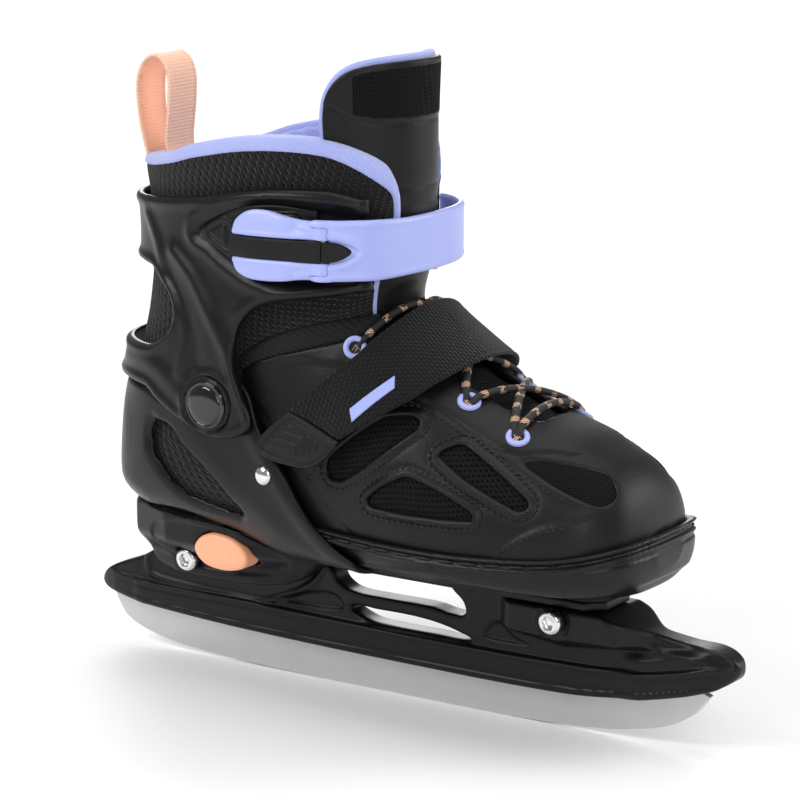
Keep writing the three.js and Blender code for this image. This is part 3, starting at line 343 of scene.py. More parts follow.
def curved(points, closed=True, corners=(), steps=8):
    """A smooth line through points; those listed in corners stay sharp."""
    points = np.asarray(points, float)
    n = len(points)
    out = []
    for i in range(n if closed else n - 1):
        a, b = points[i], points[(i + 1) % n]
        before = points[i - 1] if closed or i else 2 * a - b
        after = points[(i + 2) % n] if closed or i + 2 < n else 2 * b - a
        reach = np.linalg.norm(b - a)
        ta, tb = b - before, after - a
        ta = ta / (np.linalg.norm(ta) + 1e-9) * reach
        tb = tb / (np.linalg.norm(tb) + 1e-9) * reach
        if i in corners:
            ta = b - a
        if (i + 1) % n in corners:
            tb = b - a
        for s in np.arange(steps) / steps:
            h = 3 * s * s - 2 * s ** 3
            out.append(a * (1 - h) + b * h
                       + ta * (s ** 3 - 2 * s * s + s) + tb * (s ** 3 - s * s))
    if not closed:
        out.append(points[-1])
    return np.array(out)

def along_line(points, p, q):
    """Distance from every (p, q) to an open line."""
    best = np.full(np.broadcast(p, q).shape, 1e9)
    for (a, b), (c, d) in zip(points[:-1], points[1:]):
        ex, ez = c - a, d - b
        h = np.clip(((p - a) * ex + (q - b) * ez) / (ex * ex + ez * ez + 1e-9), 0, 1)
        best = np.minimum(best, (p - a - h * ex) ** 2 + (q - b - h * ez) ** 2)
    return np.sqrt(best)

def within(points, p, q):
    """Signed distance of every (p, q) to a closed outline, negative inside."""
    points = np.asarray(points, float)
    loop = np.vstack([points, points[:1]])
    distance = along_line(loop, p, q)
    inside = np.zeros(distance.shape, bool)
    for (a, b), (c, d) in zip(loop[:-1], loop[1:]):
        if b == d:
            continue
        crosses = (b > q) != (d > q)
        inside ^= crosses & (p < (c - a) * (q - b) / (d - b) + a)
    return np.where(inside, -distance, distance)

def softened(points, rounds=2):
    """An outline with its corners cut again and again until they are round."""
    points = np.asarray(points, float)
    for _ in range(rounds):
        after = np.roll(points, -1, 0)
        pairs = np.stack([points * .78 + after * .22, points * .22 + after * .78], 1)
        points = pairs.reshape(-1, 2)
    return points

def line(points):
    """An open smooth line."""
    return curved(points, closed=False)

def height_of(curve, x):
    """The height of a side-view line at x."""
    return np.interp(x, curve[:, 0], curve[:, 1])

def length_along(path):
    """The length of a path up to each of its points."""
    return np.concatenate([[0], np.linalg.norm(np.diff(path, axis=0), axis=1).cumsum()])

# %% From a field to a piece
def boot_uv(points):
    """Lengths along the boot and round its section, so that a knit keeps its size everywhere."""
    rows, columns = 72, 40
    places = np.linspace(0, LAST_SECTION, rows + 1)
    shares = np.linspace(0, 1, columns + 1)
    grid = np.stack([last_point(places, s, 0, MEDIAL) for s in shares], 1)
    round_ = np.linalg.norm(np.diff(grid, axis=1), axis=2).cumsum(1)
    round_ = np.hstack([np.zeros((len(places), 1)), round_])
    middle = grid[:, columns // 2]
    forward = length_along(middle)
    u, t = locate(points[:, 0], points[:, 2])
    i = u / LAST_SECTION * rows
    j = t * columns
    spots = np.stack([i, j, np.zeros_like(i)], 1)
    across = sample(np.repeat(round_[:, :, None], 2, 2), np.zeros(3), 1, spots)
    side = np.where(points[:, 1] < section_at(u)[6], -1, 1)
    return np.stack([np.interp(i, np.arange(rows + 1), forward), across * side], 1) * MM

def piece(name, points, faces, material, uv=None):
    """A mesh object at the origin from points in millimetres."""
    mesh = bpy.data.meshes.new(name)
    faces = np.asarray(faces)
    mesh.vertices.add(len(points))
    mesh.vertices.foreach_set("co", (np.asarray(points) * MM).astype(np.float32).ravel())
    width = faces.shape[1]
    mesh.loops.add(faces.size)
    mesh.loops.foreach_set("vertex_index", faces.astype(np.int32).ravel())
    mesh.polygons.add(len(faces))
    mesh.polygons.foreach_set("loop_start", np.arange(0, faces.size, width, dtype=np.int32))
    mesh.update(calc_edges=True)
    mesh.validate()
    mesh.polygons.foreach_set("use_smooth", np.ones(len(mesh.polygons), bool))
    if uv is not None:
        layer = mesh.uv_layers.new(name="length")
        corner = np.zeros(len(mesh.loops), np.int32)
        mesh.loops.foreach_get("vertex_index", corner)
        layer.data.foreach_set("uv", uv[corner].astype(np.float32).ravel())
    mesh.materials.append(material)
    return added(name, mesh)

def moulded(name, block, field, material, uv=boot_uv, whole=True):
    """The surface where a block's field is zero, pulled exactly onto it."""
    step = block.step
    field = np.clip(field, -4 * step, 4 * step).astype(np.float32)
    field = np.pad(field, 1, constant_values=4 * step)
    origin = block.low - step
    grid = vdb.FloatGrid(4 * step)
    grid.copyFromArray(field)
    points, quads = grid.convertToQuads(isovalue=0.0)
    points = points.astype(float) * step + origin
    nudges = np.eye(3) * step * .5
    for _ in range(3):
        value = sample(field, origin, step, points)
        slope = np.stack([
            sample(field, origin, step, points + nudge)
            - sample(field, origin, step, points - nudge) for nudge in nudges
        ], 1) / step
        size = (slope ** 2).sum(1)
        move = slope * (value / np.maximum(size, .2))[:, None]
        points -= np.clip(move, -.5 * step, .5 * step) * .8
    a, b, c = points[quads[:, 0]], points[quads[:, 1]], points[quads[:, 2]]
    if (np.cross(b - a, c - a) * a).sum() < 0:
        quads = quads[:, ::-1]
    made = piece(name, points, quads, material, uv(points) if uv else None)
    if whole:
        keep_main(made)
    print(name, len(made.data.polygons), "faces")
    return made

def keep_main(made):
    """Drops crumbs: islands with under a tenth of the largest one's vertices."""
    mesh = made.data
    count = len(mesh.vertices)
    label = np.arange(count)
    edges = np.zeros(len(mesh.edges) * 2, np.int32)
    mesh.edges.foreach_get("vertices", edges)
    edges = edges.reshape(-1, 2)
    while True:
        low = np.minimum(label[edges[:, 0]], label[edges[:, 1]])
        before = label.copy()
        np.minimum.at(label, edges[:, 0], low)
        np.minimum.at(label, edges[:, 1], low)
        label = label[label]
        if (label == before).all():
            break
    names, sizes = np.unique(label, return_counts=True)
    small = set(names[sizes < sizes.max() * .1])
    if small:
        drop = np.isin(label, list(small))
        bm = bmesh.new()
        bm.from_mesh(mesh)
        bm.verts.ensure_lookup_table()
        crumbs = [bm.verts[int(i)] for i in np.nonzero(drop)[0]]
        bmesh.ops.delete(bm, geom=crumbs, context="VERTS")
        bm.to_mesh(mesh)
        bm.free()

print("moulding tools ready")

# %% [markdown]
# ## Finishes
# The skate is nearly all black, so its materials are told apart by how they break the light:
# satin moulded plastic with a faint spark-eroded grain, leather with pebbles, knitted mesh with
# holes painted near black as shade, woven webbing with its gaps painted darker as shade, soft
# fleece piping. Each effect is a node group made once, which puts out a height and a mask, and
# each material places it with its own scale.

# %% Shader groups
def group_of(name, inputs, outputs):
    """An empty shader group with named float inputs and outputs."""
    tree = bpy.data.node_groups.new(name, "ShaderNodeTree")
    tree.interface.new_socket("Vector", in_out="INPUT", socket_type="NodeSocketVector")
    for title, value in inputs:
        socket = tree.interface.new_socket(title, in_out="INPUT", socket_type="NodeSocketFloat")
        socket.default_value = value
    for title in outputs:
        tree.interface.new_socket(title, in_out="OUTPUT", socket_type="NodeSocketFloat")
    return tree, tree.nodes.new("NodeGroupInput"), tree.nodes.new("NodeGroupOutput")

def add_node(tree, kind, *links, **settings):
    """A node with its settings, its inputs linked or set in order."""
    node = tree.nodes.new(kind)
    for key, value in settings.items():
        setattr(node, key, value)
    for i, source in enumerate(links):
        if source is None:
            continue
        if isinstance(source, bpy.types.NodeSocket):
            tree.links.new(source, node.inputs[i])
        else:
            node.inputs[i].default_value = source
    return node

def maths(tree, operation, *values):
    """The output of one Math node."""
    return add_node(tree, "ShaderNodeMath", *values, operation=operation).outputs[0]

def noise(tree, vector, scale, detail=2.0, rough=0.5):
    """The output of one Noise Texture node."""
    node = tree.nodes.new("ShaderNodeTexNoise")
    tree.links.new(vector, node.inputs["Vector"])
    if isinstance(scale, bpy.types.NodeSocket):
        tree.links.new(scale, node.inputs["Scale"])
    else:
        node.inputs["Scale"].default_value = scale
    node.inputs["Detail"].default_value = detail
    node.inputs["Roughness"].default_value = rough
    return node.outputs["Fac"]

def grain_group():
    """Moulded plastic: a fine even grain and slow patches of handling."""
    tree, start, end = group_of("moulded_grain", [("Scale", 1800.0)], ["Height", "Handled"])
    fine = noise(tree, start.outputs["Vector"], start.outputs["Scale"], 3.0, .6)
    slow = noise(tree, start.outputs["Vector"], 38.0, 4.0, .65)
    tree.links.new(fine, end.inputs["Height"])
    tree.links.new(maths(tree, "SUBTRACT", slow, .5), end.inputs["Handled"])
    return tree

def leather_group():
    """Coated leather: pebbles between fine creases."""
    tree, start, end = group_of("leather_pebbles", [("Scale", 900.0)], ["Height", "Handled"])
    cells = tree.nodes.new("ShaderNodeTexVoronoi")
    cells.feature = "DISTANCE_TO_EDGE"
    bent = add_node(tree, "ShaderNodeTexNoise", start.outputs["Vector"])
    bent.inputs["Scale"].default_value = 220
    mixed = add_node(tree, "ShaderNodeVectorMath", bent.outputs["Color"], (.0022, .0022, .0022),
                     operation="MULTIPLY")
    moved = add_node(tree, "ShaderNodeVectorMath", start.outputs["Vector"], mixed.outputs[0],
                     operation="ADD")
    tree.links.new(moved.outputs[0], cells.inputs["Vector"])
    tree.links.new(start.outputs["Scale"], cells.inputs["Scale"])
    pebble = maths(tree, "POWER", maths(tree, "MINIMUM", cells.outputs["Distance"], .35), .5)
    tree.links.new(pebble, end.inputs["Height"])
    slow = noise(tree, start.outputs["Vector"], 30.0, 4.0, .6)
    tree.links.new(maths(tree, "SUBTRACT", slow, .5), end.inputs["Handled"])
    return tree

def knit_group():
    """Spacer mesh: yarn drawn round slanting eye-shaped holes, in metres along the surface."""
    tree, start, end = group_of(
        "spacer_knit", [("Wide", .0036), ("Tall", .0026), ("Hole", .5), ("Slant", .35)],
        ["Height", "Hole Shade Mask"])
    split = add_node(tree, "ShaderNodeSeparateXYZ", start.outputs["Vector"])
    x, y = split.outputs[0], split.outputs[1]
    wobble = noise(tree, start.outputs["Vector"], 320.0, 2.0)
    wobble = maths(tree, "MULTIPLY", maths(tree, "SUBTRACT", wobble, .5), .0011)
    x = maths(tree, "ADD", x, wobble)
    p = maths(tree, "DIVIDE", y, start.outputs["Wide"])
    q = maths(tree, "DIVIDE", x, start.outputs["Tall"])
    p = maths(tree, "ADD", p, maths(tree, "MULTIPLY", q, start.outputs["Slant"]))
    turn = 2 * math.pi
    wave_p = maths(tree, "COSINE", maths(tree, "MULTIPLY", p, turn))
    wave_q = maths(tree, "COSINE", maths(tree, "MULTIPLY", q, turn / 2))
    eye = maths(tree, "MULTIPLY", wave_p, wave_q)
    # The hole mask sinks the holes in the bump, and the mesh materials paint it near black as shade
    # inside the holes.
    mask = tree.nodes.new("ShaderNodeMapRange")
    mask.interpolation_type = "SMOOTHSTEP"
    tree.links.new(eye, mask.inputs[0])
    tree.links.new(maths(tree, "SUBTRACT", start.outputs["Hole"], .35), mask.inputs[1])
    tree.links.new(maths(tree, "ADD", start.outputs["Hole"], .25), mask.inputs[2])
    yarn = noise(tree, start.outputs["Vector"], 2600.0, 2.0)
    height = maths(tree, "SUBTRACT", maths(tree, "MULTIPLY", yarn, .35), mask.outputs[0])
    tree.links.new(height, end.inputs["Height"])
    tree.links.new(mask.outputs[0], end.inputs["Hole Shade Mask"])
    return tree

def weave_group():
    """Woven webbing: rows of raised picks, each row offset by half a pick."""
    tree, start, end = group_of(
        "webbing_weave", [("Along", .0016), ("Across", .0021)], ["Height", "Gap Shade"])
    split = add_node(tree, "ShaderNodeSeparateXYZ", start.outputs["Vector"])
    p = maths(tree, "DIVIDE", split.outputs[0], start.outputs["Along"])
    q = maths(tree, "DIVIDE", split.outputs[1], start.outputs["Across"])
    row = maths(tree, "FLOOR", p)
    shift = maths(tree, "MULTIPLY", maths(tree, "MODULO", maths(tree, "ABSOLUTE", row), 2.0), .5)
    q = maths(tree, "FRACT", maths(tree, "ADD", q, shift))
    p = maths(tree, "FRACT", p)
    def bump(value):
        return maths(tree, "SINE", maths(tree, "MULTIPLY", value, math.pi))
    pick = maths(tree, "POWER", maths(tree, "MULTIPLY", bump(p), bump(q)), .6)
    tree.links.new(pick, end.inputs["Height"])
    # The gap mask marks the low ground between picks, which the materials paint darker as shade.
    tree.links.new(maths(tree, "LESS_THAN", pick, .35), end.inputs["Gap Shade"])
    return tree

GRAIN, PEBBLES, KNIT, WEAVE = grain_group(), leather_group(), knit_group(), weave_group()
print("shader groups", [g.name for g in (GRAIN, PEBBLES, KNIT, WEAVE)])

# %% Materials
def srgb(code):
    """A hex colour as linear values."""
    values = [int(code[i:i + 2], 16) / 255 for i in (0, 2, 4)]
    return tuple(v / 12.92 if v <= .04045 else ((v + .055) / 1.055) ** 2.4 for v in values) + (1,)

def finish_of(name, group, colour, dark=None, rough=.5, bump=.2, depth=.0003, spread=.12,
              coordinates="Object", mask="", values=(), **principled):
    """A Principled material whose bump, colour and roughness come from one shader group."""
    material = bpy.data.materials.new(name)
    material.use_nodes = True
    tree = material.node_tree
    shader = tree.nodes["Principled BSDF"]
    for key, value in principled.items():
        shader.inputs[key.replace("_", " ")].default_value = value
    place = tree.nodes.new("ShaderNodeTexCoord")
    vector = place.outputs["UV" if coordinates == "UV" else "Object"]
    effect = tree.nodes.new("ShaderNodeGroup")
    effect.node_tree = group
    tree.links.new(vector, effect.inputs["Vector"])
    for key, value in values:
        effect.inputs[key].default_value = value
    lift = tree.nodes.new("ShaderNodeBump")
    lift.inputs["Strength"].default_value = bump
    lift.inputs["Distance"].default_value = depth
    tree.links.new(effect.outputs["Height"], lift.inputs["Height"])
    tree.links.new(lift.outputs[0], shader.inputs["Normal"])
    # With a mask, the second colour goes where the mask is high: painted shade in the knit's holes
    # and the weave's gaps, real flecks on the lace. Without one, the two colours drift with slow
    # noise as random tone.
    shade = effect.outputs[mask or 1]
    slow = noise(tree, place.outputs["Object"], 45.0, 4.0, .6)
    blend = add_node(tree, "ShaderNodeMix", data_type="RGBA")
    tree.links.new(shade if mask else slow, blend.inputs[0])
    blend.inputs[6].default_value = srgb(colour)
    blend.inputs[7].default_value = srgb(dark or colour)
    tree.links.new(blend.outputs[2], shader.inputs["Base Color"])
    level = maths(tree, "MULTIPLY_ADD", maths(tree, "SUBTRACT", slow, .5), spread, rough)
    tree.links.new(level, shader.inputs["Roughness"])
    return material

SHELL = finish_of("black_shell", GRAIN, "0f0f10", "0b0b0c", rough=.38, bump=.18, depth=.0002)
SATIN = finish_of("black_satin", GRAIN, "111113", "0d0d0e", rough=.35, bump=.14, depth=.0002)
HOLDER = finish_of("black_holder", GRAIN, "0d0d0e", "09090a", rough=.37, bump=.2, depth=.0002)
LEATHER = finish_of("black_leather", PEBBLES, "0f0f10", "0a0a0b", rough=.42, bump=.22,
                    depth=.00025)
RUBBER = finish_of("black_rubber", GRAIN, "131314", "0d0d0e", rough=.52, bump=.25, depth=.0003)
GLOSS = finish_of("black_gloss", GRAIN, "050505", "060606", rough=.1, bump=.01, spread=.03,
                  Coat_Weight=.5)
# The three mesh materials paint the knit's holes near black as shade inside them.
COLLAR_MESH = finish_of("black_mesh", KNIT, "161617", "020202", rough=.82, bump=1, depth=.0012,
                        coordinates="UV", mask="Hole Shade Mask", Sheen_Weight=.15)
PANEL_MESH = finish_of("panel_mesh", KNIT, "151516", "020202", rough=.85, bump=1, depth=.0008,
                       coordinates="UV", mask="Hole Shade Mask",
                       values=(("Wide", .0022), ("Tall", .0019), ("Slant", 0.0)))
VAMP_MESH = finish_of("vamp_mesh", KNIT, "161617", "030303", rough=.85, bump=1, depth=.0006,
                      coordinates="UV", mask="Hole Shade Mask",
                      values=(("Wide", .0011), ("Tall", .0016), ("Slant", .6), ("Hole", .35)))
# Webbing, pull loop webbing and footbed paint the gaps between picks darker as shade.
WEBBING = finish_of("black_webbing", WEAVE, "131314", "030303", rough=.7, bump=1, depth=.0005,
                    coordinates="UV", mask="Gap Shade", Sheen_Weight=.1)
PEACH_WEB = finish_of("peach_webbing", WEAVE, "ffcdb0", "fbb892", rough=.75, bump=.7,
                      depth=.0003, coordinates="UV", mask="Gap Shade",
                      values=(("Along", .0014), ("Across", .0009)), Sheen_Weight=.2)
LAVENDER = finish_of("lavender_plastic", GRAIN, "aab4f0", "a4aeec", rough=.36, bump=.08,
                     depth=.0002, Subsurface_Weight=.08, Subsurface_Scale=.003)
PEACH = finish_of("peach_plastic", GRAIN, "ffb790", "fdb188", rough=.42, bump=.08, depth=.0002)
FLEECE = finish_of("lavender_fleece", GRAIN, "b3bdf3", "9ba6e6", rough=.9, bump=.8,
                   depth=.0009, values=(("Scale", 1300.0),), Sheen_Weight=.5)
STEEL = finish_of("blade_steel", GRAIN, "cfcfd0", "c3c3c5", rough=.36, bump=.05, depth=.0001,
                  Metallic=.7)
CHROME = finish_of("chrome", GRAIN, "e6e6e6", "dedede", rough=.14, bump=.02, depth=.0001,
                   Metallic=1.0)
ZINC = finish_of("zinc_steel", GRAIN, "b9b9ba", "a5a5a6", rough=.38, bump=.1, depth=.0001,
                 Metallic=1.0)
FOOTBED = finish_of("footbed", WEAVE, "3c3c3e", "29292a", rough=.9, bump=.6, depth=.0004,
                    mask="Gap Shade")
THREAD = finish_of("thread", GRAIN, "0d0d0d", "141414", rough=.6, bump=.3)
CLOTH_SPECULAR, HARD_SPECULAR = .12, .27
for material, specular in (
        (COLLAR_MESH, CLOTH_SPECULAR), (PANEL_MESH, CLOTH_SPECULAR), (VAMP_MESH, CLOTH_SPECULAR),
        (WEBBING, CLOTH_SPECULAR), (LEATHER, HARD_SPECULAR), (SHELL, HARD_SPECULAR),
        (SATIN, HARD_SPECULAR), (HOLDER, HARD_SPECULAR), (RUBBER, HARD_SPECULAR)):
    shader = material.node_tree.nodes["Principled BSDF"]
    shader.inputs["Specular IOR Level"].default_value = specular
pale = bpy.data.materials.new("floor_white")
pale.use_nodes = True
pale.node_tree.nodes["Principled BSDF"].inputs["Base Color"].default_value = (.93, .93, .93, 1)
pale.node_tree.nodes["Principled BSDF"].inputs["Roughness"].default_value = .9
floor.data.materials.append(pale)
print(len(bpy.data.materials), "materials")

# %% [markdown]
# ## The hard shells
# Heel shell, cuff and toe shell are injection mouldings about 2.5 mm thick. Each is the space
# between two offsets of the last, cut by its outline in the side view. Ridges, chamfers, recesses
# and step lines change the outer offset over the surface, exactly as a mould maker would cut them.

# %% Heel shell
def ridge(block, points, width, height):
    """A rounded rise along a side-view line."""
    return height * np.exp(-(along_line(line(points), block.x, block.z) / width) ** 2)

HEEL_OUTLINE = curved([
    (-2, 50), (-2, 64), (-20, 79), (-32, 93.5), (-43, 106), (-48, 114), (-53, 126), (-62, 131.5),
    (-76, 131.5), (-85, 126), (-91, 115.5), (-99, 117.5), (-106, 119.5), (-148, 120.5), (-148, 50),
], corners=(0, 1, 10, 13, 14))
HEEL_WINDOW = curved([
    (-98, 106.5), (-99.5, 98), (-92.8, 87.5), (-82, 80.5), (-60, 77), (-69.6, 87.5), (-84, 99),
    (-92, 106.5),
], corners=(4,))
STEP_LINE = line([(-146, 62), (-128, 66), (-109.5, 69.5), (-92.8, 70.6), (-79.8, 67.9),
                  (-55.8, 61.6), (-30, 56)])

def heel_shell():
    """The cup round the heel, with a window each side and a step line low down."""
    block = Block((-150, -54, 46), (4, 54, 136))
    edge = within(HEEL_OUTLINE, block.x, block.z)
    window = within(HEEL_WINDOW, block.x, block.z)
    under = ease(-(block.x + 98) * .6 - (block.z - 106.5) * .8 + 1, -2, 3)
    chamfer = 2.5 * under * ease(-window, -7.5, -.5) + .9 * ease(-window, -2, 0)
    below = ease(height_of(STEP_LINE, block.x) - block.z, -.7, 1.2)
    crest = ridge(block, [(-50, 108), (-36, 90), (-18, 72), (-4, 60)], 3.2, .7)
    flank = ridge(block, [(-88, 116), (-66, 92), (-40, 74), (-14, 60)], 5, .5)
    heel = ridge(block, [(-128, 116), (-122, 100), (-124, 84), (-112, 74)], 6, .6)
    outer = 5.1 - chamfer - 1.7 * below + crest + flank + heel
    shell = joined(block.last - outer, 2.75 - block.last, 1.0)
    shell = joined(shell, edge, 1.6)
    shell = joined(shell, -window, 1.0)
    return moulded("heel_shell_moulding", block, shell, SATIN)

heel = heel_shell()
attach(heel, "chassis")
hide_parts("heel_shell")

# %% Cuff
CUFF_OUTLINE = curved([
    (-148, 122.5), (-104, 121.5), (-96, 117), (-86, 112), (-76.5, 108.5), (-68, 106.3),
    (-59, 106.3), (-51, 109.8), (-48, 114), (-51.5, 122.6), (-55.5, 134), (-55.5, 146), (-52, 154),
    (-44, 160.5), (-30, 163.5), (-17, 165.5), (-3.5, 168), (-3.5, 203.5), (-18, 206.8),
    (-46, 205.5), (-75, 200.5), (-100, 197.5), (-148, 196),
], corners=(0, 16, 17, 22))
REAR_WINDOW = curved([
    (-150, 139), (-103, 138.7), (-95, 142), (-89, 148), (-89.5, 157.6), (-97, 164.5), (-104, 169),
    (-150, 169),
], corners=(0, 7))
BUCKLE_BED = curved([
    (-75.5, 187), (-66, 193), (-53, 198), (-38, 200.5), (-20, 199.5), (0, 197.5), (6, 197),
    (6, 172), (-8, 171.5), (-30, 169.8), (-46, 171), (-58, 176), (-68, 182),
], corners=(6, 7))

def cuff():
    """The ankle cuff: arms down to the pivots, a rear window, a bed for the buckle."""
    block = Block((-150, -58, 100), (2, 58, 212))
    edge = within(CUFF_OUTLINE, block.x, block.z)
    window = within(REAR_WINDOW, block.x, block.z)
    bed = within(BUCKLE_BED, block.x, block.z)
    side = np.where(block.y < 0, 1.0, .0)
    pivot = np.hypot(block.x - PIVOT[0], block.z - PIVOT[1])
    recess = 1.3 * ease(-bed, -.6, 1.8)
    lip = 1.3 * np.exp(-((bed - 3.4) / 2.4) ** 2)
    rim = 1.0 * np.exp(-((edge + 2.6) / 2.0) ** 2) * ease(block.z, 150, 160)
    arm = .7 * np.exp(-((edge + 2.4) / 1.8) ** 2) * ease(-block.z, -160, -140)
    strut = ridge(block, [(-88, 177), (-77, 168), (-62, 146), (-52, 124)], 3.4, 1.7)
    hollow = ridge(block, [(-92, 168), (-79, 148), (-74, 133)], 5, -1.1)
    rear = ridge(block, [(-106, 190), (-99, 180), (-93, 167), (-80, 146), (-83, 130)], 3.0, 1.1)
    low = ridge(block, [(-118, 132), (-104, 132), (-92, 128), (-82, 120)], 4.0, .9)
    boss = .9 * ease(13.2 - pivot, -2.2, 1.2) - 1.5 * np.exp(-((pivot - 10.4) / 1.0) ** 2)
    frame_edge = .9 * np.exp(-((window - 2.4) / 1.7) ** 2)
    outer = (8.3 + (lip - recess) * side + rim + arm + strut + hollow + rear + low + boss
             + frame_edge)
    outer = outer - 1.2 * ease(-window, -1.6, 0)
    shell = joined(block.last - outer, 5.95 - block.last, 1.0)
    shell = joined(shell, edge, 1.6)
    shell = joined(shell, -window, 1.2)
    shell = joined(shell, np.where(block.y > 0, block.x + 12.5, -9.0), 2)
    return moulded("cuff_moulding", block, shell, SATIN)

cuff_piece = cuff()
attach(cuff_piece, "cuff_body")
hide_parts("cuff")

# %% Toe shell
TOE_TOP = line([(-46, 76.5), (0, 76), (38, 75.8), (60, 76.3), (80, 77.3), (92, 79), (102, 81.2),
                (108, 82.8), (114, 84.6)])

def toe_shell():
    """The shell under the foot's front, with a double welt and a tucked lower edge."""
    block = Block((-48, -56, 50), (114, 56, 90), step=.7)
    top = height_of(TOE_TOP, block.x)
    down = top - block.z
    welt = 1.5 * np.exp(-((down - .9) / .9) ** 2) + 1.3 * np.exp(-((down - 4.7) / .9) ** 2)
    welt = welt - .5 * np.exp(-((down - 2.8) / .7) ** 2)
    ledge = line([(-46, 61), (0, 63.6), (30, 67.5), (52.8, 70.2), (87.6, 72.5), (106.5, 75.4),
                  (114, 77)])
    shoulder = .9 * ease(height_of(ledge, block.x) - block.z, -.6, .8)
    crease = line([(31.7, 66), (59.4, 63), (84.4, 61.6), (100, 62.6), (108.5, 65.6), (114, 67)])
    below = height_of(crease, block.x) - block.z
    tuck = 1.3 * ease(below, -.5, 1.2) * ease(block.x, 26, 44)
    front = .9 * ease(block.x, 82, 104)
    outer = 2.0 + welt + shoulder - tuck + front
    shell = joined(block.last - outer, .35 - block.last, .6)
    shell = joined(shell, block.z - top, 1.0)
    shell = joined(shell, -46 - block.x, 1.0)
    return moulded("toe_shell_moulding", block, shell, SATIN)

toe = toe_shell()
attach(toe, "toe_half")
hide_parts("toe_shell")

# %% [markdown]
# ## Blade, holder and heel block
# The runner is a flat steel plate ground to a rocker, so its outline is drawn and extruded with a
# small bevel. The holder is a thick moulding whose width changes all over: web, rail, ledge,
# bolt pockets. Its half-width is written as a function of the side view.

# %% Blade
HOLDER_FOOT = line([(-152, 20.6), (-133, 18.9), (-81, 16.2), (2, 14.8), (73, 15.2), (103, 18.6),
                    (122, 22.8), (134, 26)])

def flat_plate(name, outline, y_from, y_to, bevel, material, segments=2):
    """A plate drawn in the side view, with its rims rounded."""
    bm = bmesh.new()
    rings = []
    outline = np.asarray(outline, float)
    x, z = outline[:, 0], outline[:, 1]
    if (x * np.roll(z, -1) - np.roll(x, -1) * z).sum() > 0:
        outline = outline[::-1]
    ahead = np.roll(outline, -1, 0) - np.roll(outline, 1, 0)
    inward = np.stack([ahead[:, 1], -ahead[:, 0]], 1)
    inward /= np.linalg.norm(inward, axis=1)[:, None] + 1e-9
    profile = []
    for k in range(segments + 1):
        a = math.pi / 2 * k / segments
        profile.append((bevel * (1 - math.sin(a)), y_from + bevel * (1 - math.cos(a))))
    profile += [(inset, y_from + y_to - y) for inset, y in reversed(profile)]
    for inset, y in profile:
        spots = outline + inward * inset
        rings.append([bm.verts.new((x * MM, y * MM, z * MM)) for x, z in spots])
    for a, b in zip(rings[:-1], rings[1:]):
        for i in range(len(a)):
            bm.faces.new((a[i], a[(i + 1) % len(a)], b[(i + 1) % len(a)], b[i]))
    bm.faces.new(rings[0][::-1])
    bm.faces.new(rings[-1])
    bmesh.ops.recalc_face_normals(bm, faces=bm.faces)
    return added(name, mesh_of(name, bm, material))

def blade():
    """The steel runner: a rocker below, the holder's line above."""
    edge = curved([
        (-151.5, 22), (-150, 17.5), (-144.5, 10.4), (-134, 6), (-117, 2.7), (-90, 0.9), (-62, 0.2),
        (-34, 0), (34, 0), (60, 0.5), (86, 2.4), (103, 5.3), (115, 8.8), (125, 14.8), (132, 23),
    ], closed=False)
    top = HOLDER_FOOT[::-4] + (0, 4.5)
    keep = (top[:, 0] > -147) & (top[:, 0] < 128)
    outline = np.vstack([edge, top[keep]])
    return flat_plate("blade_runner", outline, -1.5, 1.5, .35, STEEL)

runner = blade()
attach(runner, "chassis")
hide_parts("blade")
print("blade_runner", len(runner.data.polygons), "faces")

# %% Blade holder
HOLDER_OUTLINE = curved([
    (-158, 25.2), (-155.5, 29.2), (-148, 33.6), (-134, 39.2), (-125, 45), (-118.5, 51.2),
    (-44, 51.2), (-38, 47.6), (-35, 43.2), (-29, 40.2), (-14, 39.6), (8, 39.6), (18, 38.2),
    (24.5, 38.9), (24, 43.5), (19.5, 47.5), (16, 51.2), (92, 51.2), (99, 48.5), (108, 45.4),
    (122, 43.4), (136, 42.2), (143.5, 38.6), (144.4, 33.5), (138, 28.2), (131, 25.5), (117, 21.6),
    (103, 18.6), (73, 15.2), (2, 14.8), (-81, 16.2), (-133, 18.9), (-150, 21), (-156.5, 22.6),
], corners=(5, 6, 16, 17))
SLIT = curved([(-28.5, 33.5), (-24, 30.4), (-16, 28.8), (10, 28.6), (27, 28.9), (22, 30.9),
               (12, 33), (0, 34), (-16, 34)])

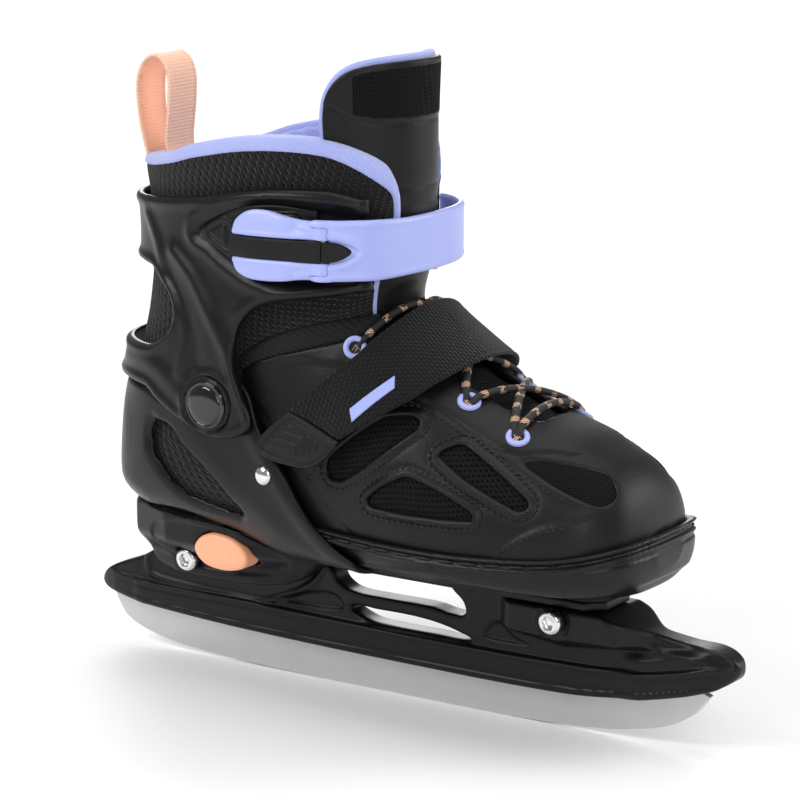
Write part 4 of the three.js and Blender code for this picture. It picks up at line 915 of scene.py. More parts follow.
def blade_holder():
    """Its half-width over the side view, then its slit, blade slot and bolt holes."""
    block = Block((-160, -19, 11), (147, 19, 54), step=.62, last=False)
    x, y, z = block.x, block.y, block.z
    edge = within(HOLDER_OUTLINE, x, z)
    slit = within(SLIT, x, z)
    foot = height_of(HOLDER_FOOT, x)
    high = z - foot
    ledge = 12.6 - 2.2 * ease(np.abs(x + 6), 70, 130)
    rail = ease(ledge - high, -.5, .8)
    half = 5.2 + 2.2 * rail
    half = half - .45 * np.exp(-((high - ledge + 2.6) / .5) ** 2)
    half = half - .35 * np.exp(-((high - 3.2) / .5) ** 2) + .3 * ease(3.2 - high, 0, .6)
    # the waisted recesses beside the struts, and the arc under the heel
    recess = within(softened([(-74, 30), (-44, 39), (-34, 38), (-30, 30)], 3), x, z)
    front = within(softened([(30, 30), (40, 41), (47, 34), (60, 30.5)], 3), x, z)
    half = half - 1.5 * ease(-recess, -.5, 2) * (1 - rail) - 1.4 * ease(-front, -.5, 2) * (1 - rail)
    arc = line([(-131, 40), (-130, 33.5), (-122, 30.8), (-90, 29.5), (-70, 30), (-48, 40),
                (-40, 50)])
    half = half + .9 * ease(1.2 - along_line(arc, x, z), -1, 1)
    # the pedestal that carries the toe, with a rimmed pocket round its bolt
    swell = ease(z, 33 + .12 * np.abs(x - 70), 41) * ease(x, 40, 52) * (1 - ease(x, 94, 112))
    half = half + 10.6 * swell
    pocket = np.hypot(x - FRONT_BOLT[0], z - FRONT_BOLT[1])
    half = half + .9 * np.exp(-((pocket - 8.2) / .9) ** 2) * swell
    half = half - .8 * ease(7.4 - pocket, -.4, .8) * swell
    keel = line([(98, 40), (112, 39), (128, 38.5), (141, 36)])
    half = half + (2.6 * ease(x, 92, 106) * (1 - ease(high, 14, 19))) * (1 - ease(x, 126, 144))
    half = half + .8 * np.exp(-(along_line(keel, x, z) / 1.6) ** 2)
    tail = np.interp(x, [-158, -154, -149, -138, -128, 112, 128, 138, 143, 146],
                     [1.6, 3.4, 5, 6.9, 12, 17, 11, 8, 5, 1.5])
    half = -joined(-half, -tail, 2.5)
    body = joined(np.abs(y) - half, edge, 1.8)
    body = joined(body, -slit, 2.6)
    slot = joined(np.abs(y) - 1.7, z - foot - 5.6, 0)
    slot = joined(slot, np.abs(x + 11) - 141, 0)
    body = joined(body, -slot, 0)
    for bx, bz in (REAR_BOLT, FRONT_BOLT):
        body = joined(body, 3.35 - np.hypot(x - bx, z - bz), .4)
    return moulded("blade_holder_moulding", block, body, HOLDER, uv=None)

holder = blade_holder()
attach(holder, "chassis")
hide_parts("blade_holder")

# %% Heel block with rails
BUTTON_LEAF = curved([(-88.4, 54), (-86.4, 58.8), (-81, 61.5), (-74.5, 61.6), (-68, 59.8),
                      (-63.6, 56.4), (-62.4, 53.2), (-64, 49.8), (-69, 47.8), (-76, 47.2),
                      (-83.6, 48.8)])

def heel_block():
    """The block under the heel with the button's bore, and the rail under the toe half."""
    block = Block((-138, -33, 36), (96, 33, 72), step=.8)
    x, y, z = block.x, block.y, block.z
    low = np.interp(x, [-133, -122, -108, -70, -38], [4, 12, 16, 15, 10])
    high = np.interp(x, [-136, -126, -106, -90, -66, -50, -38], [6, 18, 26.5, 28.6, 28.6, 22, 14])
    half = low + (high - low) * ease(z, 44, 56)
    outline = softened([(-135, 70), (-134.5, 55), (-127, 44.5), (-117, 38), (-60, 38), (-46, 44),
                        (-37, 52), (-36, 70)], 2)
    body = joined(np.abs(y) - half, within(outline, x, z), 3)
    panel = within(softened([(-118, 60), (-112, 44), (-84, 41), (-56, 44), (-46, 54), (-60, 58),
                             (-92, 66)], 3), x, z)
    body = body + .9 * ease(-panel, -.5, 1.2) * ease(np.abs(y), 12, 15)
    bar = joined(np.abs(y) - np.interp(x, [-46, 84, 93], [14, 14, 8]), 51.6 - z, .8)
    bar = joined(joined(bar, z - 57.6, .8), np.abs(x - 22) - 69, 1)
    body = merged(body, bar, 1)
    body = joined(body, 5.45 - block.last, .4)
    slot = joined(np.abs(y) - 6.3, z - 51.5, 0)
    body = joined(body, -slot, .3)
    bore = joined(within(BUTTON_LEAF, x, z) - .5, y + 15, 0)
    body = joined(body, -bore, .5)
    head = joined(np.hypot(x - REAR_BOLT[0], z - REAR_BOLT[1]) - 5.9, 16.0 - np.abs(y), 0)
    return moulded("heel_block", block, joined(body, -head, .4), HOLDER, uv=None)

base = heel_block()
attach(base, "chassis")
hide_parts("sole_base")

# %% [markdown]
# ## Bolts, rivets, cap and button
# Turned parts come from one profile swept round an axis. The bolt heads carry a hexagon socket:
# the same ring of points is bent onto a hexagon, dropped and closed.

# %% Turned parts
def turned(name, rings, material, place, direction=(0, -1, 0), count=48, body="chassis"):
    """Rings of (radius, height, hexagon share) joined and capped, standing on a place."""
    bm = bmesh.new()
    made = []
    for radius, height, hexed in rings:
        ring = []
        for i in range(count):
            a = 2 * math.pi * i / count
            flat = math.cos(math.pi / 6) / math.cos((a % (math.pi / 3)) - math.pi / 6)
            r = radius * (1 - hexed + hexed * flat)
            ring.append(bm.verts.new((r * math.cos(a), r * math.sin(a), height)))
        made.append(ring)
    for a, b in zip(made[:-1], made[1:]):
        for i in range(count):
            bm.faces.new((a[i], a[(i + 1) % count], b[(i + 1) % count], b[i]))
    bm.faces.new(made[0][::-1])
    bm.faces.new(made[-1])
    turn = Vector((0, 0, 1)).rotation_difference(Vector(direction)).to_matrix().to_4x4()
    bm.transform(Matrix.Scale(MM, 4) @ Matrix.Translation(Vector(place)) @ turn)
    bmesh.ops.recalc_face_normals(bm, faces=bm.faces)
    mesh = mesh_of(name, bm, material)
    mesh.polygons.foreach_set("use_smooth", np.ones(len(mesh.polygons), bool))
    thing = added(name, mesh)
    sharp = thing.modifiers.new("edges", "EDGE_SPLIT")
    sharp.split_angle = math.radians(38)
    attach(thing, body)
    return thing

def dome(radius, height, steps=7, start=0.0):
    """A rounded head's profile, from its rim to its middle."""
    rings = [(radius, start, 0)]
    for k in range(1, steps + 1):
        a = math.pi / 2 * k / steps
        rings.append((radius * math.cos(a) + 1e-3, start + height * math.sin(a), 0))
    return rings

BOLT_RINGS = [(3, -18, 0), (3, 0, 0), (4.9, 0, 0), (5, .2, 0), (5, 1.5, 0), (4.7, 2.6, 0),
              (4.1, 3.3, 0), (3.6, 3.5, 0), (3.1, 3.5, .2), (2.75, 3.3, 1), (2.65, 3.1, 1),
              (2.65, 1.3, 1), (.6, .9, 1)]
for name, (x, z) in (("rear_bolt", REAR_BOLT), ("front_bolt", FRONT_BOLT)):
    bolt = turned(name + "_turned", BOLT_RINGS, CHROME, (x, -16.3, z))
    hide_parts(name)

def square_to(spot, offset, side):
    """A point on the last and the direction straight out of it."""
    x, z = spot
    near = on_last([(x, z), (x + 1, z), (x, z + 1)], offset, side)
    out = np.cross(near[1] - near[0], near[2] - near[0])
    out *= side * np.sign(out[1]) / np.linalg.norm(out)
    return near[0], out

def skate_rivet(name, spot, offset, side, body):
    """A domed rivet head square to the last's surface."""
    point, out = square_to(spot, offset, side)
    rings = [(1.6, -2.6, 0), (1.6, 0, 0), (3.9, 0, 0)] + dome(4, 2.2, start=.2)
    rivet = turned(name + "_turned", rings, CHROME, point + out * .3, tuple(out), body=body)
    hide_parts(name)

skate_rivet("side_rivet_lateral", (-43, 93.7), 5.1, LATERAL, "chassis")
skate_rivet("side_rivet_medial", (-43, 93.7), 5.1, MEDIAL, "chassis")
skate_rivet("mount_rivet", (-27, 186), 10.9, MEDIAL, "cuff_body")
CAP_RINGS = [(8.6, -.3, 0), (9.3, 0, 0), (9.35, .9, 0), (8.9, 1.5, 0), (8.2, 1.55, 0),
             (7.9, 1.35, 0)] + dome(7.7, 1.3, start=1.4)
for name, side in (("pivot_cap_lateral", LATERAL), ("pivot_cap_medial", MEDIAL)):
    low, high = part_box(name)
    seat = (high.y if side == LATERAL else low.y) / MM
    cap = turned(name + "_turned", CAP_RINGS, GLOSS, (PIVOT[0], seat, PIVOT[1]), (0, side, 0))
    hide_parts(name)

def push_button():
    """A leaf-shaped cap: rounder at the front top, drawn out at the back, with a soft crown."""
    block = Block((-92, -33, 45), (-56, -12, 66), step=.45, last=False)
    x, y, z = block.x, block.y, block.z
    edge = within(BUTTON_LEAF, x, z)
    crown = -30.6 + .9 * np.clip((edge + 6.4) / 6.4, 0, 1) ** 2
    marks = 0
    for k in range(4):
        rib = .3 * np.exp(-((x + 79.5 - 3.6 * k) / .5) ** 2)
        marks = marks + rib * ease(-np.abs(z - 55), -3.2, -2.2)
    body = joined(joined(edge, crown + marks - y, 1.6), y + 20.2, .4)
    stem = joined(np.abs(x + 74) - 2.4, np.abs(z - 57) - 2, .4)
    stem = joined(stem, joined(y + 12, -21 - y, 0), 0)
    return moulded("push_button_cap", block, merged(body, stem, .4), PEACH, uv=None)

button = push_button()
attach(button, "button_body")
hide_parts("push_button")
print("hard parts made")

# %% [markdown]
# ## Leather upper and mesh panels
# The upper is cut leather over knitted mesh: openings with a raised, stitched border, an eyestay
# beside the throat and a toe cap lapped over the vamp. It is one moulded skin with real openings,
# and the mesh is a second skin lying deeper, so the borders cast their own shadows.

# %% Upper
PANELS = [
    curved([(23.6, 119.6), (22.8, 122.6), (17.5, 123.4), (9.0, 121.6), (-13.0, 104.4),
            (-14.4, 99.6), (-11.4, 96.4), (-4.0, 98.0)]),
    curved([(35.0, 110.3), (40.0, 114.4), (45.4, 113.2), (71.6, 98.0), (72.4, 95.6), (67.6, 94.4)]),
    curved([(6.6, 91.4), (22.4, 101.8), (29.6, 101.0), (51.6, 92.2), (52.0, 89.2), (9.4, 88.9)]),
]
TOE_CAP = line([(60, 76), (67.9, 82.3), (77.6, 88.2), (89.6, 91.8), (100.7, 94.4), (105, 95.4)])
EYESTAY = line([(-4, 139), (18, 130.2), (28.8, 125.8), (45.2, 118), (60, 112.9), (73.5, 112.9),
                (86, 110.8), (96, 106.4), (103.5, 98)])
BAND_LOW = line([(-64, 131), (-58, 133), (-50, 137.3), (-34, 142.2), (-13.5, 148.5), (-6, 152)])
BAND_HIGH = line([(-64, 137), (-58, 140), (-50, 144.7), (-35.5, 150.6), (-19, 155), (-6, 157.6)])
THROAT_HALF = 13.5

def ridge_y(x):
    """How far the boot's ridge lies towards the inner side."""
    return np.interp(x, [-40, 38, 60, 80, 104], [0, 1, 2, 3, 4])

VAMP_LOW = line([(58, 112.4), (62, 110.8), (70, 107.2), (82, 101.9), (96.6, 96.0), (104, 93.6)])
VAMP_INNER = np.abs(on_last([(62, 111.2), (70, 111.5), (78, 110.6), (86, 108.9), (93, 106.6)], 0,
                            LATERAL)[:, 1] - [2.1, 2.5, 2.9, 3.2, 3.5])
print("inner edge of the toe mesh, mm from the ridge:", np.round(VAMP_INNER, 1))

def vamp_area(block):
    """Distance to the toe's mesh window: above its lower seam and outside the middle strip."""
    inner = np.interp(block.x, [62, 70, 78, 86, 93, 99], list(VAMP_INNER) + [VAMP_INNER[-1] + 1])
    middle_strip = inner - np.abs(block.y - ridge_y(block.x))
    window = joined(height_of(VAMP_LOW, block.x) - block.z, middle_strip, 2.5)
    return joined(window, np.abs(block.x - 80) - 18.5, 4)

def upper():
    """The leather skin: mesh openings, toe cap lap, eyestay and throat."""
    block = Block((-60, -52, 56), (110, 54, 164), step=1.0)
    x, y, z, last = block.x, block.y, block.z, block.last
    raised = 0
    openings = vamp_area(block)
    for panel in PANELS:
        edge = within(panel, x, z)
        raised = raised + 1.0 * np.exp(-((edge - 1.6) / 1.0) ** 2) \
            - .35 * np.exp(-((edge - 3.6) / .8) ** 2)
        openings = np.minimum(openings, edge)
    cap = height_of(TOE_CAP, x) - z
    lap = .8 * ease(cap, -.4, .6) * ease(x, 60, 63) * (1 - ease(x, 92, 101))
    fade = 1 - ease(x, 78, 92)
    stay = .6 * ease(z - height_of(EYESTAY, x), -.4, .7) * fade
    groove = -.5 * np.exp(-(along_line(EYESTAY, x, z) / .8) ** 2) * fade
    quarter = line([(-50, 118), (-36, 104), (-22, 92), (-2, 76)])
    groove = groove - .4 * np.exp(-(along_line(quarter, x, z) / .8) ** 2)
    outer = .1 + raised + lap + stay + groove
    skin = joined(last - outer, -3.0 - last, .5)
    skin = joined(skin, z - height_of(BAND_LOW, x) - 40 * ease(x, -8, 4), 1)
    crest = np.interp(x, [-10, 0, 13, 36, 62, 70], [151.5, 149, 146, 139, 133, 160])
    skin = joined(skin, z - crest, 2)
    skin = joined(skin, -joined(np.abs(y - ridge_y(x)) - THROAT_HALF, x - 62, 8), 1)
    skin = joined(skin, -openings, .8)
    skin = joined(skin, -58 - x, .5)
    return moulded("leather_upper", block, skin, LEATHER)

leather = upper()
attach(leather, "toe_half")
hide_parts("upper_front")

def mesh_under(name, area_of, material, outer):
    """A skin of mesh below the leather's openings, a little larger than they are."""
    block = Block((-24, -52, 80), (108, 54, 130))
    area = area_of(block) - .9
    swell = .5 * ease(-area, 0, 6)
    skin = joined(joined(block.last - outer - swell, -2.9 - block.last, .3), area, .3)
    made = moulded(name, block, skin, material, whole=False)
    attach(made, "toe_half")

def side_areas(block):
    """Distance to the nearest of the side openings."""
    return np.minimum.reduce([within(o, block.x, block.z) for o in PANELS])

mesh_under("side_mesh_panels", side_areas, PANEL_MESH, -1.2)
mesh_under("vamp_mesh_panels", vamp_area, VAMP_MESH, -.7)

# %% Ribbed stretch band along the quarter's top
WEBBING_SOFT = finish_of("ribbed_knit", GRAIN, "101011", "0a0a0b", rough=.85, bump=.5,
                         depth=.0005, values=(("Scale", 1500.0),))

def stretch_band():
    """Slanting ribs on a puffed band between two lines."""
    block = Block((-62, -44, 128), (-4, 44, 162), step=.5)
    x, z = block.x, block.z
    low, high = height_of(BAND_LOW, x) - .8, height_of(BAND_HIGH, x)
    ribs = .42 * np.sin((x * .5 + z * 1.1) * 2 * math.pi / 2.3)
    puff = 1.0 * np.clip(1 - ((z - (low + high) / 2) / ((high - low) / 2)) ** 2, 0, 1)
    skin = joined(block.last + 1.6 - puff - ribs, -3.6 - block.last, .6)
    skin = joined(skin, np.maximum(low - z, z - high), 1.2)
    skin = joined(skin, np.maximum(x + 6.5, -60 - x), 1)
    return moulded("ribbed_band", block, skin, WEBBING_SOFT, whole=False)

band = stretch_band()
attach(band, "toe_half")

# %% [markdown]
# ## Liner, collar and tongue
# The liner is a padded sock: spacer mesh outside, soft lavender fleece inside, turned over the
# top edge as a thick piping. It sits in the heel shell below and the cuff above; its piping and
# inner fleece go with the cuff. The tongue is faced with leather and backed with the same fleece.

# %% Liner
LINER_OUTLINE = curved([
    (-148, 60), (-30, 60), (-30, 128), (-12, 145), (-8.5, 154), (-8, 162.4), (-6.3, 171),
    (-1.5, 182), (2.6, 192), (3.2, 200), (.4, 210), (-7.5, 219), (-22, 224.4), (-50, 224.6),
    (-79, 219.6), (-94, 214.4), (-110, 210.5), (-148, 208.5),
], corners=(0, 1, 17))

def liner_fields(block):
    """Outer and inner offset of the liner, and the distance to its outline."""
    x, z = block.x, block.z
    above = z - height_of(BAND_HIGH, x)
    front = ease(x, -64, -52)
    low = -.3 + 2.6 * ease(z, 124, 138) * (1 - ease(x, -92, -70))
    ankle = -3.9 + 3.1 * ease(above, -3, 4)
    outer = low * (1 - front) + ankle * front
    outer = outer * (1 - ease(z, 160, 180)) + 3.3 * ease(z, 160, 180)
    outer = outer + .9 * np.exp(-((z - 208) / 9) ** 2)
    inner = -8.0 + 2.0 * ease(z, 180, 200)
    wide = np.where(block.y > 0, 29.0, 16.5)
    throat = -joined(np.abs(block.y) - wide, -30 - x, 2)
    return outer, inner, joined(within(LINER_OUTLINE, x, z), throat, 3)

def liner():
    """The padded sock, one body from the heel cup to the collar."""
    block = Block((-148, -50, 58), (8, 50, 232), step=1.15)
    outer, inner, edge = liner_fields(block)
    skin = joined(block.last - outer, inner - block.last, 4)
    skin = joined(skin, edge, 4)
    return moulded("padded_liner", block, skin, COLLAR_MESH)

sock = liner()
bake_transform(sock)
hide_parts("liner_lower", "liner_upper")

def collar_piping():
    """The fleece turned over the liner's edge, thick along the top and slim down the front."""
    block = Block((-140, -48, 150), (9, 48, 232), step=.8)
    z = block.z
    outer, inner, edge = liner_fields(block)
    broad = .55 + .5 * ease(z, 172, 190) + 1.9 * ease(z, 203, 216)
    skin = joined(block.last - outer - .55, inner - .3 - block.last, 3.6)
    skin = joined(skin, np.abs(edge + broad - .6) - broad, 1.6)
    skin = joined(skin, 153 - z, 1)
    return moulded("collar_piping", block, skin, FLEECE)

piping = collar_piping()
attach(piping, "cuff_body")

def collar_lining():
    """The thin fleece on the liner's inner wall."""
    block = Block((-140, -46, 128), (4, 46, 226), step=1.4)
    _, inner, edge = liner_fields(block)
    skin = joined(block.last - inner - .7, inner - 1.2 - block.last, .4)
    skin = joined(skin, edge + 5.6 - 4 * ease(block.z, 200, 210), .5)
    skin = joined(skin, 130 - block.z, 1)
    return moulded("fleece_lining", block, skin, FLEECE)

lining = collar_lining()
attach(lining, "cuff_body")

# %% Tongue
TONGUE_FACE = curved([
    (-14, 148), (-15, 176), (-20, 200), (-23.5, 226), (-23, 240), (-17, 249.5), (-7, 253.6),
    (12, 255.6), (30, 256), (30, 136), (8, 130), (-8, 136),
], corners=(8, 9))

def tongue_upper(face):
    """The tongue above the laces: its leather face, or its fleece backing."""
    block = Block((-30, -44, 128), (26, 44, 262), step=.8)
    x, z = block.x, block.z
    edge = within(TONGUE_FACE, x, z)
    sunk = 4.6 * (1 - ease(z, 150, 172))
    if face:
        seam = line([(-21, 238), (-12, 233), (-2, 231.4), (14, 231)])
        shade = -.35 * np.exp(-(along_line(seam, x, z) / .8) ** 2)
        shade = shade + .3 * ease(z - height_of(seam, x), 0, 1)
        for k in range(3):
            shade = shade - .35 * np.exp(-((z - 206 + 7 * k) / .9) ** 2) * ease(x, -14, -11)
        skin = joined(block.last + .4 + sunk - shade, -3.2 - sunk - block.last, 1.2)
        skin = joined(skin, edge, 1.4)
        name, look = "tongue_face", LEATHER
    else:
        skin = joined(block.last + 2.4 + sunk, -6.4 - sunk - block.last, 2.6)
        skin = joined(skin, edge - 2.7 * ease(z, 176, 200), 2.4)
        name, look = "tongue_backing", FLEECE
    made = moulded(name, block, skin, look)
    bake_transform(made)
    return made

facing = tongue_upper(True)
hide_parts("tongue_upper")
tongue_upper(False)

def tongue_patch():
    """Knitted patch at the tongue's top."""
    block = Block((-24, -40, 226), (20, 40, 260), step=.8)
    x, z = block.x, block.z
    seam = line([(-24, 239), (-12, 234), (-2, 232.4), (20, 232)])
    skin = joined(block.last + .05, -2 - block.last, .5)
    skin = joined(skin, within(TONGUE_FACE, x, z) + 1.5, 1.0)
    skin = joined(skin, height_of(seam, x) - z, .8)
    skin = joined(skin, -16 - x, 4)
    made = moulded("tongue_patch", block, skin, VAMP_MESH, whole=False)
    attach(made, "cuff_body")

tongue_patch()

def tongue_lower():
    """The mesh tongue under the laces, with soft folds across it."""
    block = Block((-16, -28, 96), (72, 30, 160), step=.8)
    x, y = block.x, block.y
    across = np.abs(y - ridge_y(x))
    puff = 1.1 * np.clip(1 - (across / 15) ** 2, 0, 1)
    folds = .35 * np.sin(x * 2 * math.pi / 8.5 + y * .12)
    skin = joined(block.last + 3.5 - puff - folds * (across < 12), -7.6 - block.last, 1.5)
    skin = joined(skin, np.maximum(across - 21, np.maximum(x - 68, -14 - x)), 2)
    return moulded("tongue_vamp", block, skin, VAMP_MESH)

low_tongue = tongue_lower()
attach(low_tongue, "toe_half")
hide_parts("tongue_lower")

# %% [markdown]
# ## Instep strap
# Woven webbing runs at 45 degrees over the instep and ends in a stitched rubber tab outside and a
# leather patch inside. The weave follows the strap, so its map holds true lengths along and
# across the band, measured on the last.

# %% Webbing strap
STRAP_RUN = np.array([.7071, .7071])
STRAP_ACROSS = np.array([-.7071, .7071])

def strap_uv(points):
    """Length along the band from the ridge, and distance across it."""
    us = np.linspace(.2, .8, 121)
    crest = last_point(us, 0 * us, 6.7, LATERAL)[:, [0, 2]]
    order = np.argsort(crest @ STRAP_ACROSS)
    across = points[:, [0, 2]] @ STRAP_ACROSS
    top = np.interp(across, (crest @ STRAP_ACROSS)[order], (crest @ STRAP_RUN)[order])
    down = top - points[:, [0, 2]] @ STRAP_RUN
    run = .8 * np.abs(points[:, 1]) + .75 * np.clip(down, 0, None)
    return np.stack([run * np.sign(points[:, 1] + 1e-6), across], 1) * MM

STRAP_OUTLINE = np.array([
    (-30, 121.6), (-5.4, 144), (4, 155.5), (14, 172), (60, 165), (34, 142.5), (21.8, 130.5),
    (-4, 113.8),
])

def webbing_strap():
    """The band of webbing from side to side over the instep."""
    block = Block((-34, -58, 108), (46, 58, 176), step=.7)
    edge = within(STRAP_OUTLINE, block.x, block.z)
    hem = .25 * np.exp(-((edge + 2.2) / .6) ** 2)
    skin = joined(block.last - 7.65 + hem, 5.8 - block.last, .5)
    skin = joined(skin, edge, .8)
    return moulded("instep_webbing", block, skin, WEBBING, uv=strap_uv)

webbing = webbing_strap()
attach(webbing, "toe_half")
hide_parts("instep_strap")

TAB_OUTLINE = curved([(-30.5, 121.4), (-38.5, 114.5), (-44.2, 108.6), (-44.8, 104), (-40, 101.2),
                      (-28, 100.1), (-18.6, 100.8), (-10, 105.6), (-3.6, 113.2)],
                     corners=(0, 8))

def strap_end(name, outline, side, look, marks):
    """A flat end of the strap on one side, plain or with chevrons."""
    block = Block((-50, -60, 94), (2, 60, 128), step=.5)
    edge = within(outline, block.x, block.z)
    rim = .35 * np.exp(-((edge + .9) / .6) ** 2) - .3 * np.exp(-((edge + 2.4) / .5) ** 2)
    x, z = block.x + 24, block.z - 110
    along = x * STRAP_RUN[0] + z * STRAP_RUN[1]
    across = x * STRAP_ACROSS[0] + z * STRAP_ACROSS[1]
    inside = ease(-edge, 4.2, 5.2)
    beat = (along + .8 * np.abs(across)) % 4.4 - 2.2
    chevrons = .7 * inside * np.exp(-(beat / .7) ** 2) * marks
    skin = joined(block.last - 7.9 - rim - chevrons, 5.85 - block.last, .6)
    skin = joined(skin, edge, 1.0)
    skin = joined(skin, -block.y * side, 0)
    made = moulded(name, block, skin, look)
    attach(made, "toe_half")
    return made

tab = strap_end("strap_tab_moulding", TAB_OUTLINE, LATERAL, RUBBER, 1)
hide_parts("strap_tab")
ANCHOR_OUTLINE = curved([(-30.5, 121.4), (-37, 112.5), (-30, 106.5), (-23, 104), (-12, 105.2),
                         (-3.6, 113.2)], corners=(0, 5))
anchor = strap_end("strap_anchor_patch", ANCHOR_OUTLINE, MEDIAL, LEATHER, 0)
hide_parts("strap_anchor")

# The label's gaps between picks are painted darker as shade.
LABEL = finish_of("woven_label", WEAVE, "a9b6f2", "8c9ae0", rough=.6, bump=.5, depth=.0002,
                  coordinates="UV", mask="Gap Shade", values=(("Along", .0005), ("Across", .0007)))

def strap_label():
    """A plain woven label sewn flat on the webbing."""
    block = Block((-8, -58, 112), (24, -20, 148), step=.45)
    outline = [(-.9, 125.9), (1.4, 121.2), (15.2, 134.6), (13.4, 138.9)]
    edge = within(outline, block.x, block.z)
    skin = joined(joined(block.last - 8.2, 7.4 - block.last, .2), edge, .3)
    made = moulded("strap_label", block, skin, LABEL, uv=strap_uv)
    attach(made, "toe_half")

strap_label()

# %% [markdown]
# ## Buckle
# A base plate in the cuff's bed, a long strap that wraps the ankle, and a two-lobed lever that
# turns on a pin through the strap. The strap's path in plan is a smooth line with a width either
# side of one level, and its pointed trough is a side-view outline.

# %% Buckle base and medial plate
def buckle_base():
    """A thin plate in the cuff's bed, raised where the lever closes on it."""
    block = Block((-78, -62, 168), (-17, -20, 204), step=.5)
    x, z = block.x, block.z
    plate = curved([(-74.5, 187), (-64, 193.5), (-52, 198.5), (-36, 200.4), (-20.5, 199),
                    (-20.5, 173.2), (-36, 171.4), (-54, 175.6), (-66, 181.6)], corners=(0, 4, 5))
    edge = within(plate, x, z)
    wedge = within(softened([(-75, 187), (-57, 197), (-54.5, 176)], 2), x, z)
    outer = 8.6 + .5 * ease(-wedge, -.5, 1) - .5 * np.exp(-((wedge + 2.6) / .6) ** 2)
    for k in range(4):
        outer = outer + .35 * np.exp(-((x + 60.5 - 2.4 * k) / .5) ** 2) * ease(-wedge, 2.8, 3.4)
    plate = joined(joined(block.last - outer, 7.2 - block.last, .5), edge, .9)
    hook = within(softened([(-57, 176.5), (-57, 196.5), (-20.5, 198), (-20.5, 174)], 1), x, z)
    rise = joined(joined(block.last - 10.7, 7.2 - block.last, .5), hook, 1.2)
    return moulded("buckle_base_moulding", block, merged(plate, rise, 1), HOLDER)

base_plate = buckle_base()
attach(base_plate, "cuff_body")
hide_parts("buckle_base", "base_rivet")

def medial_plate():
    """The plate on the inner side that holds the strap's end."""
    block = Block((-40, 20, 168), (-12, 62, 202), step=.5)
    outline = softened([(-38, 179), (-38, 192), (-33, 196.5), (-17, 197.6), (-17, 173.6),
                        (-33, 174.6)], 2)
    edge = within(outline, block.x, block.z)
    rim = .5 * np.exp(-((edge + 1.6) / .7) ** 2)
    skin = joined(joined(block.last - 10.5 - rim, 8.5 - block.last, .6), edge, 1)
    return moulded("medial_strap_plate", block, skin, LAVENDER)

inner_plate = medial_plate()
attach(inner_plate, "cuff_body")
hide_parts("strap_mount")

# %% Buckle strap
STRAP_PLAN = curved([(-19, -44.8), (-15.5, -43.6), (-11, -41.4), (-6, -37.6), (0, -31.4),
                     (3.6, -20.4), (5.2, -8), (5.5, 0), (5.2, 8), (3.6, 20.2), (-.6, 31.3),
                     (-7, 38.4), (-12, 41.4), (-16.8, 43.4)], closed=False)
# the lever's pin in plan, and the height of the strap's middle
HINGE = (-15.5, -42.2)
LEVEL = 184.4

def buckle_strap():
    """The moulded ankle strap: edge ribs, pointed trough and the pin's eye."""
    block = Block((-24, -50, 170), (13, 48, 201), step=.5, last=False)
    x, y, z = block.x, block.y, block.z
    path = along_line(STRAP_PLAN, x, y)
    front = ease(-y, 14, 34)
    thick = 1.25 + .5 * front
    middle = LEVEL + .3 * front
    tall = 11.3 + .4 * front
    body = joined(path - thick, np.abs(z - middle) - tall, 1.6)
    # the lower and upper ribs that stiffen the strap's edges
    body = body - .25 * np.exp(-((np.abs(z - middle) - tall + 1.9) / .8) ** 2)
    trough = within(curved([(-30, 189.3), (-12, 189.2), (-8, 188.5), (-4.8, 186.9), (-2.6, LEVEL),
                            (-4.8, 181.9), (-8, 180.3), (-12, 179.6), (-30, 179.5)],
                           corners=(0, 8)), x, z)
    outer = (y < 0) * 1.0
    body = body + outer * (.9 * ease(-trough, -.3, 1.0)
                           - .55 * np.exp(-((trough - 1.6) / 1.2) ** 2))
    gap = joined(joined(x + 12.4, np.abs(z - LEVEL) - 9.5, 0), y, 0)
    body = joined(body, -gap, .4)
    body = joined(body, -19 - x, .6)
    pin = joined(np.hypot(x - HINGE[0], y - HINGE[1]) - 3.3, np.abs(z - LEVEL) - 11.3, .8)
    body = merged(body, joined(pin, 9.5 - np.abs(z - LEVEL), .4), 1.2)
    return moulded("buckle_strap_moulding", block, body, LAVENDER, uv=None)

strap = buckle_strap()
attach(strap, "strap_body")
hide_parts("buckle_strap")

def strap_inlay():
    """The dark pointed tail of the lever's insert, sunk in the strap."""
    block = Block((-16, -50, 176), (0, -30, 193), step=.4, last=False)
    x, y, z = block.x, block.y, block.z
    point = within(curved([(-14.6, 188.4), (-10, 188), (-7, 186.6), (-5.3, LEVEL), (-7, 182.2),
                           (-10, 180.8), (-14.6, 180.4)], corners=(0, 6)), x, z)
    path = along_line(STRAP_PLAN + np.array([-.2, -1.6]), x, y)
    body = joined(joined(path - 1.0, point, .6), -14.35 - x, .1)
    return moulded("strap_inlay_point", block, body, RUBBER, uv=None)

inlay = strap_inlay()
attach(inlay, "strap_body")
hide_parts("strap_inlay")

# %% Lever
LEVER_OUTLINE = curved([
    (-53.2, 179.6), (-53.2, 191), (-51, 195.2), (-45.5, 198.4), (-38, 198.8), (-30.5, 197.2),
    (-24, 196), (-17.4, 195.7), (-17.4, 173.1), (-24, 172.9), (-30.5, 172.1), (-38, 171.6),
    (-46, 172.2), (-51.4, 174.8),
], corners=(7, 8))

INSERT_PLAN = np.array([(-26, -48.1), (-20, -46.8), (-17, -46.3), (-14.4, -45.6), (-14.4, -44.2),
                        (-20, -45.0), (-26, -45.6)])

